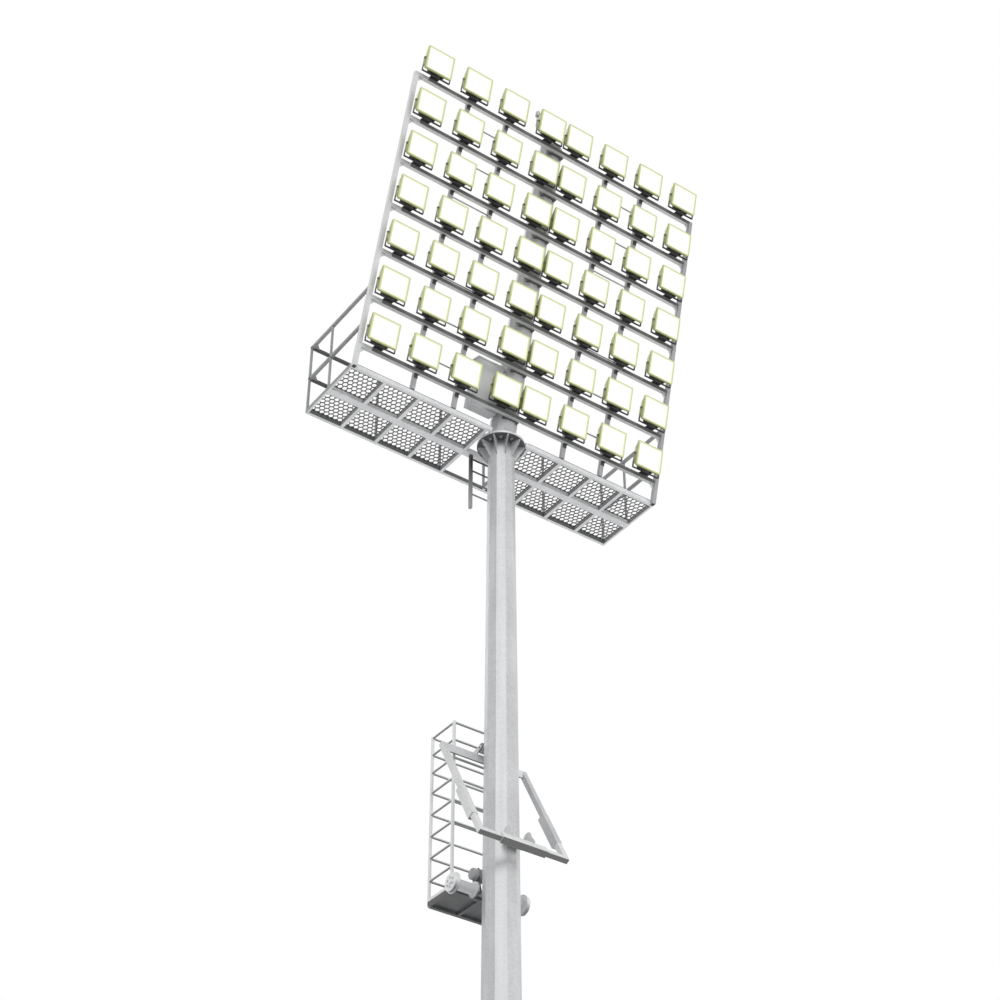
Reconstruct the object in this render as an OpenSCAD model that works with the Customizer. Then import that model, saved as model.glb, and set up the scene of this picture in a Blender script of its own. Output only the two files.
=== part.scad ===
// Stadium floodlight pylon: a ten-sided tapered mast with a leaning lamp frame, a service platform
// and a lift that climbs the back of the mast. Millimetres, +Z up, lamps face -Y, +X to the right
// seen from the field, origin at the centre of the base plate's underside.

/* [Mast] */
// Height of the platform beams' underside above the ground
platform_h = 20000; // [15000:100:26000]
// Mast diameter across corners, under its top flange
mast_top_d = 381; // [340:1:420]
// Growth of the mast's diameter towards the ground, per metre of height
mast_taper = 12.28; // [10:0.01:14]
// Wall of the mast shafts, measured across the flats
mast_wall = 8; // [5:0.5:12]
// Height of the lower edge of the upper shaft
slip_h = 10300; // [9000:50:11500]
// Length over which the upper shaft covers the lower one
slip_lap = 600; // [400:10:900]
// Diameter of the base plate
base_d = 1000; // [940:10:1200]
// Thickness of the base plate
base_t = 40; // [25:1:60]
// Diameter of the circle of anchor holes
anchor_pcd = 860; // [820:5:900]
// Radius of an anchor hole
anchor_r = 21; // [12:0.5:26]
// Height of the base gussets
base_gusset_h = 300; // [150:10:400]
// Thickness of the ribs and gussets
rib_t = 14; // [8:1:20]
// Height of the lower edge of the access door
door_z = 700; // [600:10:900]
// Height of the access door
door_h = 600; // [400:10:800]
// Width of the access door
door_w = 130; // [100:1:150]
// Thickness of the access door
door_t = 5; // [3:0.5:8]

/* [Head] */
// Radius of the mast's top flange
flange_r = 350; // [335:1:380]
// Thickness of the mast's top flange
flange_t = 35; // [20:1:50]
// Height of the ribs under the top flange
flange_rib_h = 250; // [150:5:350]
// Radius of the head flange that stands on the mast's flange
head_flange_r = 285; // [265:1:295]
// Thickness of the head flange
head_flange_t = 30; // [20:1:45]
// Height of the ribs above the head flange
head_rib_h = 170; // [100:5:230]
// Spine diameter across corners at the platform
spine_d = 400; // [370:1:410]
// Spine diameter across corners at its top
spine_top_d = 357; // [320:1:370]
// Gap between the rails and the spine's front flat at the platform
spine_set_back = 13; // [5:1:40]
// Length of the spine above the top rail
spine_over = 140; // [80:5:250]

/* [Lamp frame] */
// Lean of the lamp frame towards the field, in degrees
frame_tilt = 15; // [10:0.5:18]
// Width of the lamp frame and of the platform
frame_w = 5340; // [5280:10:5600]
// Side of the square tubes of posts and rails
frame_tube = 64; // [50:1:70]
// Rows of lamps
rows = 7; // [7:1:7]
// Distance between rows, along the frame
row_pitch = 786; // [760:1:840]
// Height of the lowest lamp centres above the platform, along the frame
lamp_z0 = 631; // [620:1:680]
// Distance between lamps in a row
col_pitch = 700; // [680:1:705]
// Distance between the two middle lamps
centre_pitch = 522; // [515:1:560]
// Drop from a lamp's centre to the middle of its rail
rail_drop = 278; // [270:1:300]
// Depth of the uprights behind the rails
upright_t = 60; // [40:1:80]
// Spacing of the tie rods between two uprights
tie_pitch = 680; // [600:5:720]
// Diameter of a tie rod
tie_d = 22; // [12:1:30]
// Leg of the knee gussets at the rail ends
knee = 90; // [50:5:130]

/* [Lamp] */
// Width of a lamp head
lamp_w = 464; // [430:1:470]
// Height of a lamp head's front
lamp_h = 413; // [380:1:418]
// Depth of a lamp head
lamp_depth = 130; // [100:1:140]
// Depth of the front rim before the back tapers
lamp_rim_d = 36; // [20:1:50]
// Width of the front rim round the lens
lamp_rim_w = 20; // [12:1:30]
// Depth of the lens below the rim
lens_in = 8; // [4:0.5:15]
// Height of a lamp head's back
lamp_back_h = 270; // [200:1:280]
// Cooling fins on a lamp's back
fins = 7; // [3:1:9]
// Depth of the cooling fins
fin_d = 16; // [8:1:20]
// Distance of the trunnion line in front of the frame's middle plane
trunnion_y = 95; // [90:1:120]
// Radius of the trunnion pins
pin_r = 8; // [6:0.5:12]
// Running clearance of pins and shafts in their bores
pin_gap = 0.05; // [0.02:0.01:0.1]
// Width of the yoke's flat bar
yoke_w = 50; // [40:1:56]
// Thickness of the yoke's flat bar
yoke_t = 8; // [5:0.5:9]
// Gap between a lamp's side and its yoke
yoke_gap = 6; // [4:0.5:7]
// Width of the foot plate under a yoke
foot_w = 150; // [100:5:200]

/* [Platform] */
// Front edge of the platform, from the mast's axis
deck_front = 265; // [255:1:290]
// Back edge of the platform, from the mast's axis
deck_back = 1027; // [980:1:1100]
// Height of the platform beams
beam_h = 70; // [50:1:90]
// Width of the long platform beams
beam_w = 80; // [70:1:100]
// Width of the cross beams
cross_w = 50; // [40:1:70]
// Half of the gap between the two decks
deck_gap = 300; // [297:1:330]
// Width of the inner arms that rest on the mast's flange
arm_w = 60; // [50:1:80]
// Thickness of the gratings
grating_t = 25; // [15:1:40]
// Holes of one grating bay across the platform's width
mesh_x = 7; // [4:1:8]
// Holes of one grating bay across the platform's depth
mesh_y = 5; // [4:1:7]
// Bar left between two grating holes
mesh_bar = 18; // [12:1:24]
// Height of the guard's top rail above the platform's underside
guard_h = 1275; // [1100:5:1400]
// Height of the guard's middle rail above the platform's underside
guard_mid = 670; // [560:5:760]
// Side of the guard's square tubes
guard_tube = 42; // [30:1:55]
// Length of the ladder under the platform
ladder_len = 970; // [700:10:1000]
// Distance between the ladder's stiles, middle to middle
ladder_w = 420; // [380:5:460]
// Side of the ladder's stiles
stile = 56; // [40:1:70]
// Spacing of the ladder's rungs
ladder_pitch = 215; // [190:5:250]

/* [Lift] */
// Height of the cage floor's underside in the stored position
lift_h = 12954; // [12800:10:13100]
// Height of the cage
cage_h = 2454; // [2400:2:2600]
// Width of the cage, between post middles
cage_w = 890; // [860:5:940]
// Depth of the cage, between post middles
cage_d = 496; // [440:2:560]
// Side of the cage posts
cage_post = 50; // [35:1:60]
// Side of the cage rungs
cage_rung = 26; // [18:1:34]
// Spacing of the cage's hoops
hoop_pitch = 305; // [290:1:310]
// Height of the cage's toe boards
toe_h = 115; // [80:5:150]
// Distance of the top beam from the mast's axis
top_beam_y = 385; // [380:1:410]
// Height of the top beam above the cage floor
top_beam_z = 1981; // [1940:1:2020]
// Distance of the front beam from the mast's axis
front_beam_y = 461; // [450:1:500]
// Height of the front beam above the cage floor
front_beam_z = 382; // [350:1:420]
// Distance of the sloping arms from the middle
arm_x = 636; // [630:1:700]
// Side of the lift's beams and arms
lift_tube = 70; // [60:1:76]
// Wall of the arm sleeves
sleeve_wall = 14; // [8:0.5:18]
// Start of the sleeve, from the arm's top
sleeve_at = 905; // [860:5:940]
// Length of the sleeve
sleeve_len = 597; // [560:1:640]
// Length of the front beam's middle sleeve
beam_sleeve = 674; // [560:2:760]
// Diameter of the guide rollers
roller_d = 140; // [120:1:150]
// Length of the guide rollers
roller_len = 250; // [200:5:280]
// Radius of the roller pins
roller_pin = 15; // [10:0.5:20]
// Thickness of the roller ears
ear_t = 12; // [8:1:16]
// Height of a roller's axis above its beam
ear_rise = 65; // [60:1:100]
// Distance of the reel shaft from the mast's axis
reel_y = 285; // [280:1:300]
// Height of the reel shaft above the cage floor's underside
reel_z = 31; // [20:1:60]
// Radius of the reel shaft
reel_shaft = 25; // [16:0.5:32]
// Radius of a reel's outer disc
reel_r = 160; // [130:1:170]
// Radius of a reel's inner flange
reel_inner_r = 110; // [90:1:118]
// Radius of the drum between the discs
drum_r = 58; // [45:1:80]
// Distance of a reel's outer disc from the middle
reel_x = 502; // [490:1:510]
// Radius of the hoist motor
motor_r = 84; // [70:1:95]
// Distance from the middle to a bearing plate of the reels
bearing_x = 130; // [110:1:150]

/* [Top fittings] */
// Width of the gear cabinet
cabinet_w = 440; // [380:5:480]
// Depth of the gear cabinet
cabinet_d = 190; // [150:5:220]
// Height of the gear cabinet
cabinet_h = 780; // [600:10:800]
// Height of the cabinet's underside above the platform, along the frame
cabinet_z = 340; // [300:5:360]
// Length of the lightning rod
rod_len = 620; // [400:10:900]
// Radius of the lightning rod
rod_r = 9; // [6:0.5:14]
// Radius of the obstruction light's globe
beacon_r = 60; // [45:1:75]

/* [Hidden] */
fit = 0.2;              // gap between shaped pieces that are bolted or welded together
roll_gap = 0.3;         // gap between a guide roller and the mast
slide_gap = 0.3;        // gap round a tube in its sleeve
sides = 10;
flat = cos(180 / sides);          // inner radius of the ten-sided outline for a corner radius of one
steel = [0.74, 0.75, 0.76];
light_steel = [0.82, 0.83, 0.84];
dark_steel = [0.30, 0.31, 0.32];
big = 4 * platform_h;

// Mast: diameters across corners at a height
mast_top = platform_h - flange_t;
slip_top = slip_h + slip_lap;
function upper_d(z) = mast_top_d + mast_taper * (mast_top - z) / 1000;
function lower_d(z) = upper_d(z) - 2 * (mast_wall + fit) / flat;
function mast_back(z) = upper_d(z) / 2 * flat;

// Platform levels and the lamp frame's own plane
deck_top = platform_h + beam_h;
grating_top = deck_top + grating_t;
frame_y = -deck_front + frame_tube / 2 / cos(frame_tilt) + beam_h * tan(frame_tilt);
half_w = frame_w / 2;
function lamp_z(r) = lamp_z0 + (rows - r) * row_pitch;
function rail_z(r) = lamp_z(r) - rail_drop;
frame_top = rail_z(1) + frame_tube / 2;
columns = [for (side = [-1, 1], i = [0:3]) side * (centre_pitch / 2 + i * col_pitch)];
upright_x = [centre_pitch / 2 + col_pitch, centre_pitch / 2 + 2 * col_pitch];
lamp_swing = lamp_h / 2 + 24;                                // room below a lamp's centre
foot_t = (rail_drop - frame_tube / 2 - lamp_swing) / 2;      // foot plate and yoke bar share the room
yoke_in = lamp_w / 2 + yoke_gap;

// Spine, in the frame's own plane
spine_y = frame_tube / 2 + spine_set_back + spine_d / 2 * flat;
spine_len = frame_top + spine_over;

// Lift, from the cage floor up
beam_z = lift_h + top_beam_z;
front_z = lift_h + front_beam_z;
arm_run = top_beam_y + front_beam_y;
arm_drop = top_beam_z - front_beam_z;
arm_len = norm([arm_run, arm_drop]);
arm_lean = atan2(arm_run, arm_drop);
arm_plug = 30;                    // how far the fixed arm reaches into its sleeve
arm_room = 100;                   // free room above the sliding tube in its sleeve
cage_front = top_beam_y + lift_tube / 2 + cage_post / 2;
cage_back = cage_front + cage_d;
hoops = floor((cage_h - cage_rung / 2) / hoop_pitch);
first_front_rung = 3;              // the hoist takes the room of the lower front rungs
floor_rim = 40;
floor_t = 8;
floor_top = floor_rim + floor_t;
toe_t = 6;
rear_axis_z = beam_z + lift_tube / 2 + ear_rise;
rear_axis_y = mast_back(rear_axis_z) + roller_d / 2 + roll_gap;
sleeve_side = lift_tube + 2 * slide_gap + 2 * sleeve_wall;
beam_sleeve_side = lift_tube + 2 * sleeve_wall;
front_axis_z = front_z + beam_sleeve_side / 2 + ear_rise;
front_axis_y = -mast_back(front_axis_z) - roller_d / 2 - roll_gap;
reel_axis_z = lift_h + reel_z;
motor_y = cage_front - cage_post / 2 - motor_r;
motor_z = reel_axis_z + reel_inner_r + motor_r + 50;

// Shared shapes

// A bar centred on x and y, standing on z
module bar(size) translate([-size[0] / 2, -size[1] / 2, 0]) cube(size);

// A box between two corners
module box(low, high) translate(low) cube(high - low);

// A ten-sided tapered solid, with diameters across corners
module taper(d1, d2, h) cylinder(d1 = d1, d2 = d2, h = h, $fn = sides);

// The outside of the upper shaft's taper between two heights, grown by a margin
module upper_outside(z1, z2, grow = 0)
    translate([0, 0, z1]) taper(upper_d(z1) + 2 * grow / flat, upper_d(z2) + 2 * grow / flat, z2 - z1);

module lower_outside(z1, z2, grow = 0)
    translate([0, 0, z1]) taper(lower_d(z1) + 2 * grow / flat, lower_d(z2) + 2 * grow / flat, z2 - z1);

// A flat plate with its outline in the plane of y and z, centred on x
module plate_yz(t) rotate([90, 0, 90]) linear_extrude(t, center = true) children();

// The lamp frame's own plane: z runs up the frame and -y points at the field
module in_frame() translate([0, frame_y, platform_h]) rotate([frame_tilt, 0, 0]) children();

// Everything below a level
module below(z) translate([-big / 2, -big / 2, z - big]) cube(big);

module spine_outside(grow = 0)
    translate([0, spine_y, -spine_d])
        taper(spine_d + 2 * grow / flat + (spine_d - spine_top_d) * spine_d / spine_len,
              spine_top_d + 2 * grow / flat, spine_len + spine_d);

// Mast

module base_plate() color(steel) {
    gusset_out = anchor_pcd / 2 + 2 * anchor_r;
    difference() {
        cylinder(d = base_d, h = base_t, $fn = 96);
        for (i = [0:sides - 1])
            rotate(180 / sides + i * 360 / sides) translate([anchor_pcd / 2, 0, -1])
                cylinder(r = anchor_r, h = base_t + 2, $fn = 48);
    }
    difference() {
        for (i = [0:sides - 1])
            rotate(i * 360 / sides) translate([0, rib_t / 2, base_t]) rotate([90, 0, 0])
                linear_extrude(rib_t)
                    polygon([[0, -base_t / 2], [gusset_out, -base_t / 2], [gusset_out, base_t],
                             [lower_d(base_gusset_h) / 2 + base_t, base_gusset_h], [0, base_gusset_h]]);
        lower_outside(base_t, base_t + base_gusset_h + 1, fit);
    }
}

module door_box(margin)
    rotate(198) translate([0, -door_w / 2 + margin, door_z + margin])
        cube([base_d, door_w - 2 * margin, door_h - 2 * margin]);

module mast_lower() color(light_steel) {
    door_lap = 12;
    bore_d = 2 * mast_wall / flat;
    difference() {
        lower_outside(base_t, slip_top);
        translate([0, 0, base_t - 1])
            taper(lower_d(base_t - 1) - bore_d, lower_d(slip_top + 1) - bore_d, slip_top - base_t + 2);
        door_box(door_lap);
    }
}

module access_door() color(light_steel) difference() {
    intersection() {
        lower_outside(base_t, slip_h, door_t);
        door_box(0);
    }
    lower_outside(base_t - 1, slip_h + 1, fit);
}

module mast_upper() color(light_steel) {
    bore_d = 2 * mast_wall / flat;
    difference() {
        upper_outside(slip_h, mast_top);
        translate([0, 0, slip_h - 1])
            taper(upper_d(slip_h - 1) - bore_d, upper_d(mast_top + 1) - bore_d, mast_top - slip_h + 2);
    }
}

module mast_flange() color(steel) {
    cable_r = 90;
    lip = 30;
    difference() {
        translate([0, 0, mast_top]) cylinder(r = flange_r, h = flange_t, $fn = 96);
        translate([0, 0, mast_top - 1]) cylinder(r = cable_r, h = flange_t + 2, $fn = 48);
    }
    difference() {
        for (i = [0:sides - 1])
            rotate(i * 360 / sides) translate([0, rib_t / 2, mast_top]) rotate([90, 0, 0])
                linear_extrude(rib_t)
                    polygon([[cable_r, flange_t / 2], [flange_r - rib_t, flange_t / 2], [flange_r - rib_t, -lip],
                             [upper_d(mast_top - flange_rib_h) / 2 + rib_t, -flange_rib_h],
                             [cable_r, -flange_rib_h]]);
        upper_outside(mast_top - flange_rib_h - 1, mast_top, fit);
    }
}

// Head

module head_flange() color(steel) {
    cable_r = 90;
    head_z = platform_h + head_flange_t;
    difference() {
        translate([0, 0, platform_h]) cylinder(r = head_flange_r, h = head_flange_t, $fn = 96);
        translate([0, 0, platform_h - 1]) cylinder(r = cable_r, h = head_flange_t + 2, $fn = 48);
    }
    difference() {
        for (i = [0:sides - 1])
            rotate(i * 360 / sides) translate([0, rib_t / 2, head_z]) rotate([90, 0, 0])
                linear_extrude(rib_t)
                    polygon([[cable_r, -head_flange_t / 2], [head_flange_r - rib_t, -head_flange_t / 2],
                             [head_flange_r - rib_t, rib_t],
                             [spine_d / 2, head_rib_h], [cable_r, head_rib_h]]);
        difference() {
            in_frame() spine_outside(fit);
            below(head_z);
        }
        in_frame() translate([-big / 2, -big, -big / 2]) cube([big, big + frame_tube / 2 + fit, big]);
    }
}

module head_spine() color(steel) difference() {
    in_frame() spine_outside();
    below(platform_h + head_flange_t);
}

module spine_brackets() color(dark_steel) {
    saddle_w = spine_top_d * 0.7;
    saddle_h = frame_tube * 1.6;
    in_frame() difference() {
        for (r = [1:rows])
            translate([0, frame_tube / 2, rail_z(r) - saddle_h / 2])
                translate([-saddle_w / 2, 0, 0]) cube([saddle_w, spine_y - frame_tube / 2 - spine_d / 8, saddle_h]);
        spine_outside(fit);
    }
}

// Lamp frame

module frame_post(side) color(light_steel) difference() {
    in_frame() translate([side * (half_w - frame_tube / 2), 0, -frame_tube])
        bar([frame_tube, frame_tube, frame_top + frame_tube]);
    below(deck_top);
}

module uprights(side) color(steel) {
    back = frame_tube / 2 + upright_t / 2;
    difference() {
        in_frame() for (x = upright_x)
            translate([side * x, back, -frame_tube]) bar([upright_t, upright_t, frame_top + frame_tube]);
        below(grating_top);
    }
    in_frame() for (h = [tie_pitch:tie_pitch:frame_top])
        translate([side * upright_x[0], back, h]) rotate([0, side * 90, 0])
            cylinder(d = tie_d, h = upright_x[1] - upright_x[0], $fn = 24);
}

module rail(r) color(light_steel) {
    inner = half_w - frame_tube;
    plate = 10;
    in_frame() translate([0, 0, rail_z(r)]) {
        box([-inner, -frame_tube / 2, -frame_tube / 2], [inner, frame_tube / 2, frame_tube / 2]);
        for (side = [-1, 1])
            translate([side * inner, plate / 2, -frame_tube / 2]) rotate([90, 0, 0]) linear_extrude(plate)
                difference() {
                    polygon([[0, 0], [-side * knee, 0], [0, -knee]]);
                    translate([-side * knee, -knee]) circle(r = knee * 0.62, $fn = 48);
                }
    }
}

// Lamps

module lamp_head() {
    front = lamp_depth / 2;
    fin_gap = (lamp_w - 4 * lamp_rim_w) / (fins - 1);
    fin_t = 6;
    difference() {
        plate_yz(lamp_w)
            polygon([[-front, -lamp_h / 2], [-front + lamp_rim_d, -lamp_h / 2], [front - fin_d, -lamp_back_h / 2],
                     [front - fin_d, lamp_back_h / 2], [-front + lamp_rim_d, lamp_h / 2], [-front, lamp_h / 2]]);
        box([-lamp_w / 2 + lamp_rim_w, -front - 1, -lamp_h / 2 + lamp_rim_w],
            [lamp_w / 2 - lamp_rim_w, -front + lens_in, lamp_h / 2 - lamp_rim_w]);
    }
    for (i = [0:fins - 1])
        translate([-lamp_w / 2 + 2 * lamp_rim_w + i * fin_gap, front - fin_d, 0])
            box([-fin_t / 2, -1, -lamp_back_h / 2 + fin_d], [fin_t / 2, fin_d, lamp_back_h / 2 - fin_d]);
    rotate([0, 90, 0]) cylinder(r = pin_r, h = lamp_w + 2 * yoke_gap + 2 * yoke_t, center = true, $fn = 32);
}

module at_lamps(r) in_frame() for (x = columns) translate([x, -trunnion_y, lamp_z(r)]) children();

module lamp_heads(r) color([0.93, 0.93, 0.86]) at_lamps(r) lamp_head();

module lamp_yoke() {
    bar_top = -lamp_swing;
    foot_top = bar_top - foot_t;
    arm_top = 34;
    for (side = [-1, 1])
        difference() {
            translate([side * (yoke_in + yoke_t / 2), 0, foot_top]) bar([yoke_t, yoke_w, arm_top - foot_top]);
            rotate([0, 90, 0]) cylinder(r = pin_r + pin_gap, h = 2 * lamp_w, center = true, $fn = 32);
        }
    translate([0, 0, foot_top]) bar([2 * yoke_in + 2 * yoke_t, yoke_w, foot_t]);
    box([-foot_w / 2, -yoke_w / 2, foot_top - foot_t], [foot_w / 2, trunnion_y + frame_tube / 2, foot_top]);
}

module lamp_yokes(r) color([0.16, 0.16, 0.17]) at_lamps(r) lamp_yoke();

// Platform: one half is drawn on the right and mirrored for the left

bay_x0 = deck_gap + arm_w;
bay_x1 = half_w - frame_tube;
bay_w = (bay_x1 - bay_x0 - 3 * cross_w) / 4;
bay_d = (deck_back + deck_front - 3 * beam_w) / 2;
function bay_at(i, j) = [bay_x0 + i * (bay_w + cross_w), -deck_front + beam_w + j * (bay_d + beam_w)];

module deck_frame() color(steel) translate([0, 0, platform_h]) linear_extrude(beam_h) difference() {
    translate([deck_gap, -deck_front]) square([half_w - deck_gap, deck_front + deck_back]);
    for (i = [0:3], j = [0:1]) translate(bay_at(i, j)) square([bay_w, bay_d]);
}

// One hole of the stretched mesh: a hexagon that is long across the platform
module mesh_hole(w, h) polygon([[-w / 2, 0], [-w / 4, -h / 2], [w / 4, -h / 2], [w / 2, 0], [w / 4, h / 2], [-w / 4, h / 2]]);

module grating() color(dark_steel) translate([0, 0, deck_top]) linear_extrude(grating_t) difference() {
    lap = 20;
    edge = 52;
    pitch_x = (bay_w - mesh_bar) / mesh_x;
    pitch_y = (bay_d - edge - mesh_bar) / mesh_y;
    translate([deck_gap + lap, -deck_front + lap])
        square([bay_x1 - deck_gap - lap, deck_front + deck_back - beam_w]);
    for (i = [0:3], j = [0:1], a = [0:mesh_x - 1], b = [0:mesh_y - 1])
        translate(bay_at(i, j) + [mesh_bar + (a + 0.5) * pitch_x - mesh_bar / 2,
                                  (j == 0 ? edge : 0) + mesh_bar / 2 + (b + 0.5) * pitch_y])
            mesh_hole(pitch_x - mesh_bar, pitch_y - mesh_bar);
}

module bridge_beams() color(steel) {
    mid_y = (deck_back - deck_front) / 2;
    box([-deck_gap, deck_back - beam_w, platform_h], [deck_gap, deck_back, deck_top]);
    box([-deck_gap, mid_y - beam_w / 2, platform_h], [deck_gap, mid_y + beam_w / 2, deck_top]);
}

module guard_rail_rear() color(light_steel) {
    posts = [deck_gap + guard_tube, (half_w + deck_gap) / 2, half_w - guard_tube / 2];
    y = deck_back - guard_tube / 2;
    for (side = [-1, 1], x = posts)
        translate([side * x, y, deck_top]) bar([guard_tube, guard_tube, platform_h + guard_h - deck_top]);
    for (h = [guard_mid, guard_h])
        box([-half_w, deck_back - guard_tube, platform_h + h - guard_tube], [half_w, deck_back, platform_h + h]);
}

module guard_rail_end(side) color(light_steel) difference() {
    post_y = (deck_back - deck_front) / 2;
    union() {
        for (h = [guard_mid, guard_h])
            translate([side * (half_w - guard_tube / 2), -2 * deck_front, platform_h + h - guard_tube])
                translate([-guard_tube / 2, 0, 0])
                    cube([guard_tube, deck_back - guard_tube + 2 * deck_front, guard_tube]);
        translate([side * (half_w - guard_tube / 2), post_y, deck_top])
            bar([guard_tube, guard_tube, platform_h + guard_h - deck_top]);
    }
    in_frame() translate([-big / 2, -big + frame_tube / 2, -big / 2]) cube(big);
}

module platform_ladder() color(dark_steel) {
    y = (deck_back - deck_front) / 2;
    rung_d = 26;
    for (side = [-1, 1])
        translate([side * ladder_w / 2, y, platform_h - ladder_len]) bar([stile, stile, ladder_len]);
    for (h = [ladder_pitch:ladder_pitch:ladder_len - rung_d])
        translate([-ladder_w / 2, y, platform_h - h - rung_d]) rotate([0, 90, 0])
            cylinder(d = rung_d, h = ladder_w, $fn = 24);
}

// Top fittings

module gear_cabinet() color(steel) {
    right = -spine_d / 2 - 12;
    low = [right - cabinet_w, spine_y - cabinet_d / 2, cabinet_z];
    lug = 60;
    roof = 16;
    in_frame() {
        cube_size = [cabinet_w, cabinet_d, cabinet_h];
        translate(low) cube(cube_size);
        translate(low + [-roof, -roof, cabinet_h]) cube([cabinet_w + roof, cabinet_d + 2 * roof, roof]);
        difference() {
            for (h = [lug, cabinet_h - 2 * lug])
                translate([right - 1, spine_y - cabinet_d / 2, cabinet_z + h]) cube([spine_d / 4, cabinet_d, lug]);
            spine_outside(fit);
        }
    }
}

module lightning_rod() color(steel) {
    socket_r = 26;
    socket_h = 60;
    in_frame() translate([spine_top_d / 4, spine_y, spine_len]) difference() {
        rotate([-frame_tilt, 0, 0]) {
            translate([0, 0, -socket_h]) cylinder(r = socket_r, h = 2 * socket_h, $fn = 32);
            translate([0, 0, -socket_h]) cylinder(r = rod_r, h = rod_len + socket_h, $fn = 24);
            translate([0, 0, rod_len]) cylinder(r1 = rod_r, r2 = rod_r / 4, h = 4 * rod_r, $fn = 24);
        }
        translate([-big / 2, -big / 2, -big]) cube(big);
    }
}

module obstruction_light() color([0.6, 0.6, 0.6]) {
    neck_r = 30;
    neck_h = 70;
    in_frame() translate([-spine_top_d / 4, spine_y, spine_len]) {
        cylinder(r = neck_r, h = neck_h, $fn = 32);
        translate([0, 0, neck_h]) cylinder(r = beacon_r, h = neck_r, $fn = 48);
        translate([0, 0, neck_h + neck_r]) intersection() {
            sphere(r = beacon_r * 0.9, $fn = 48);
            cylinder(r = beacon_r, h = beacon_r, $fn = 48);
        }
    }
}

// Lift

module cage_side(side) color(light_steel) translate([side * cage_w / 2, 0, lift_h]) {
    for (y = [cage_front, cage_back]) translate([0, y, 0]) bar([cage_post, cage_post, cage_h]);
    for (i = [1:hoops])
        box([-cage_rung / 2, cage_front, i * hoop_pitch - cage_rung / 2],
            [cage_rung / 2, cage_back, i * hoop_pitch + cage_rung / 2]);
    box([-toe_t / 2, cage_front, floor_top], [toe_t / 2, cage_back, toe_h]);
}

module cage_rungs() color(light_steel) {
    half = cage_w / 2 - cage_post / 2;
    for (run = [[cage_front, first_front_rung], [cage_back, 1]]) {
        for (i = [run[1]:hoops])
            translate([-half, run[0] - cage_rung / 2, lift_h + i * hoop_pitch - cage_rung / 2])
                cube([2 * half, cage_rung, cage_rung]);
        translate([-half, run[0] - toe_t / 2, lift_h + floor_top]) cube([2 * half, toe_t, toe_h - floor_top]);
    }
}

// The cage floor between the posts
module floor_outline() difference() {
    translate([0, (cage_front + cage_back) / 2]) square([cage_w + cage_post, cage_d + cage_post], center = true);
    for (x = [-1, 1], y = [cage_front, cage_back])
        translate([x * cage_w / 2, y]) square(cage_post + 2 * fit, center = true);
}

module cage_floor() color(dark_steel) translate([0, 0, lift_h]) {
    middle = (cage_front + cage_back) / 2;
    pan_w = (cage_w - cage_post - floor_rim) / 2;
    linear_extrude(floor_rim) difference() {
        floor_outline();
        for (side = [-1, 1])
            translate([side * (pan_w + floor_rim) / 2, middle])
                square([pan_w, cage_d - cage_post], center = true);
    }
    translate([0, 0, floor_rim]) linear_extrude(floor_t) floor_outline();
}

// The arms' own axis: -z runs down an arm from the top beam to the front beam
module in_arm() translate([0, top_beam_y, beam_z]) rotate([-arm_lean, 0, 0]) children();

// A fixed arm: its tube and the sleeve that the front frame slides in
module lift_arm(side) color(light_steel) in_arm() translate([side * arm_x, 0, 0]) {
    bore = lift_tube + 2 * slide_gap;
    translate([0, 0, -sleeve_at]) bar([lift_tube, lift_tube, sleeve_at + lift_tube / 2]);
    translate([0, 0, -sleeve_at - sleeve_len]) difference() {
        bar([sleeve_side, sleeve_side, sleeve_len]);
        translate([0, 0, -1]) bar([bore, bore, sleeve_len - arm_plug + 1]);
    }
}

// Outline of a roller's ear in the plane of y and z: from the beam's top to the roller's axis
module ear_outline(beam_y, beam_top, axis_y, axis_z) {
    ear_r = 2.4 * roller_pin;
    toward = axis_y > beam_y ? 1 : -1;
    polygon([[beam_y - toward * lift_tube / 2, beam_top], [beam_y + toward * lift_tube / 2, beam_top],
             [axis_y, axis_z - ear_r], [axis_y, axis_z + ear_r], [beam_y - toward * lift_tube / 2, axis_z]]);
    translate([axis_y, axis_z]) circle(r = ear_r, $fn = 48);
}

module roller_ears(beam_y, beam_top, axis_y, axis_z)
    for (side = [-1, 1])
        translate([side * (roller_len / 2 + ear_t), 0, 0]) plate_yz(ear_t) difference() {
            ear_outline(beam_y, beam_top, axis_y, axis_z);
            translate([axis_y, axis_z]) circle(r = roller_pin + pin_gap, $fn = 48);
        }

module roller(y, z) color(dark_steel) translate([0, y, z]) rotate([0, 90, 0]) {
    cylinder(d = roller_d, h = roller_len, center = true, $fn = 64);
    cylinder(r = roller_pin, h = roller_len + 4 * ear_t, center = true, $fn = 48);
}

module top_beam() color(light_steel) {
    half = arm_x - lift_tube / 2;
    translate([0, top_beam_y, beam_z - lift_tube / 2]) bar([2 * half, lift_tube, lift_tube]);
    roller_ears(top_beam_y, beam_z + lift_tube / 2, rear_axis_y, rear_axis_z);
}

module rear_roller() roller(rear_axis_y, rear_axis_z);

module front_beam() color(light_steel) {
    half = arm_x - lift_tube / 2;
    translate([0, -front_beam_y, front_z - lift_tube / 2]) bar([2 * half, lift_tube, lift_tube]);
    translate([0, -front_beam_y, front_z - beam_sleeve_side / 2])
        bar([beam_sleeve, beam_sleeve_side, beam_sleeve_side]);
    roller_ears(-front_beam_y, front_z + beam_sleeve_side / 2, front_axis_y, front_axis_z);
}

// A sliding tube of the front frame, from its room in the sleeve down past the front beam
module front_tube(side) color(light_steel) in_arm() translate([side * arm_x, 0, -arm_len - lift_tube / 2])
    bar([lift_tube, lift_tube, arm_len + lift_tube / 2 - sleeve_at - arm_plug - arm_room]);

module front_roller() roller(front_axis_y, front_axis_z);

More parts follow.
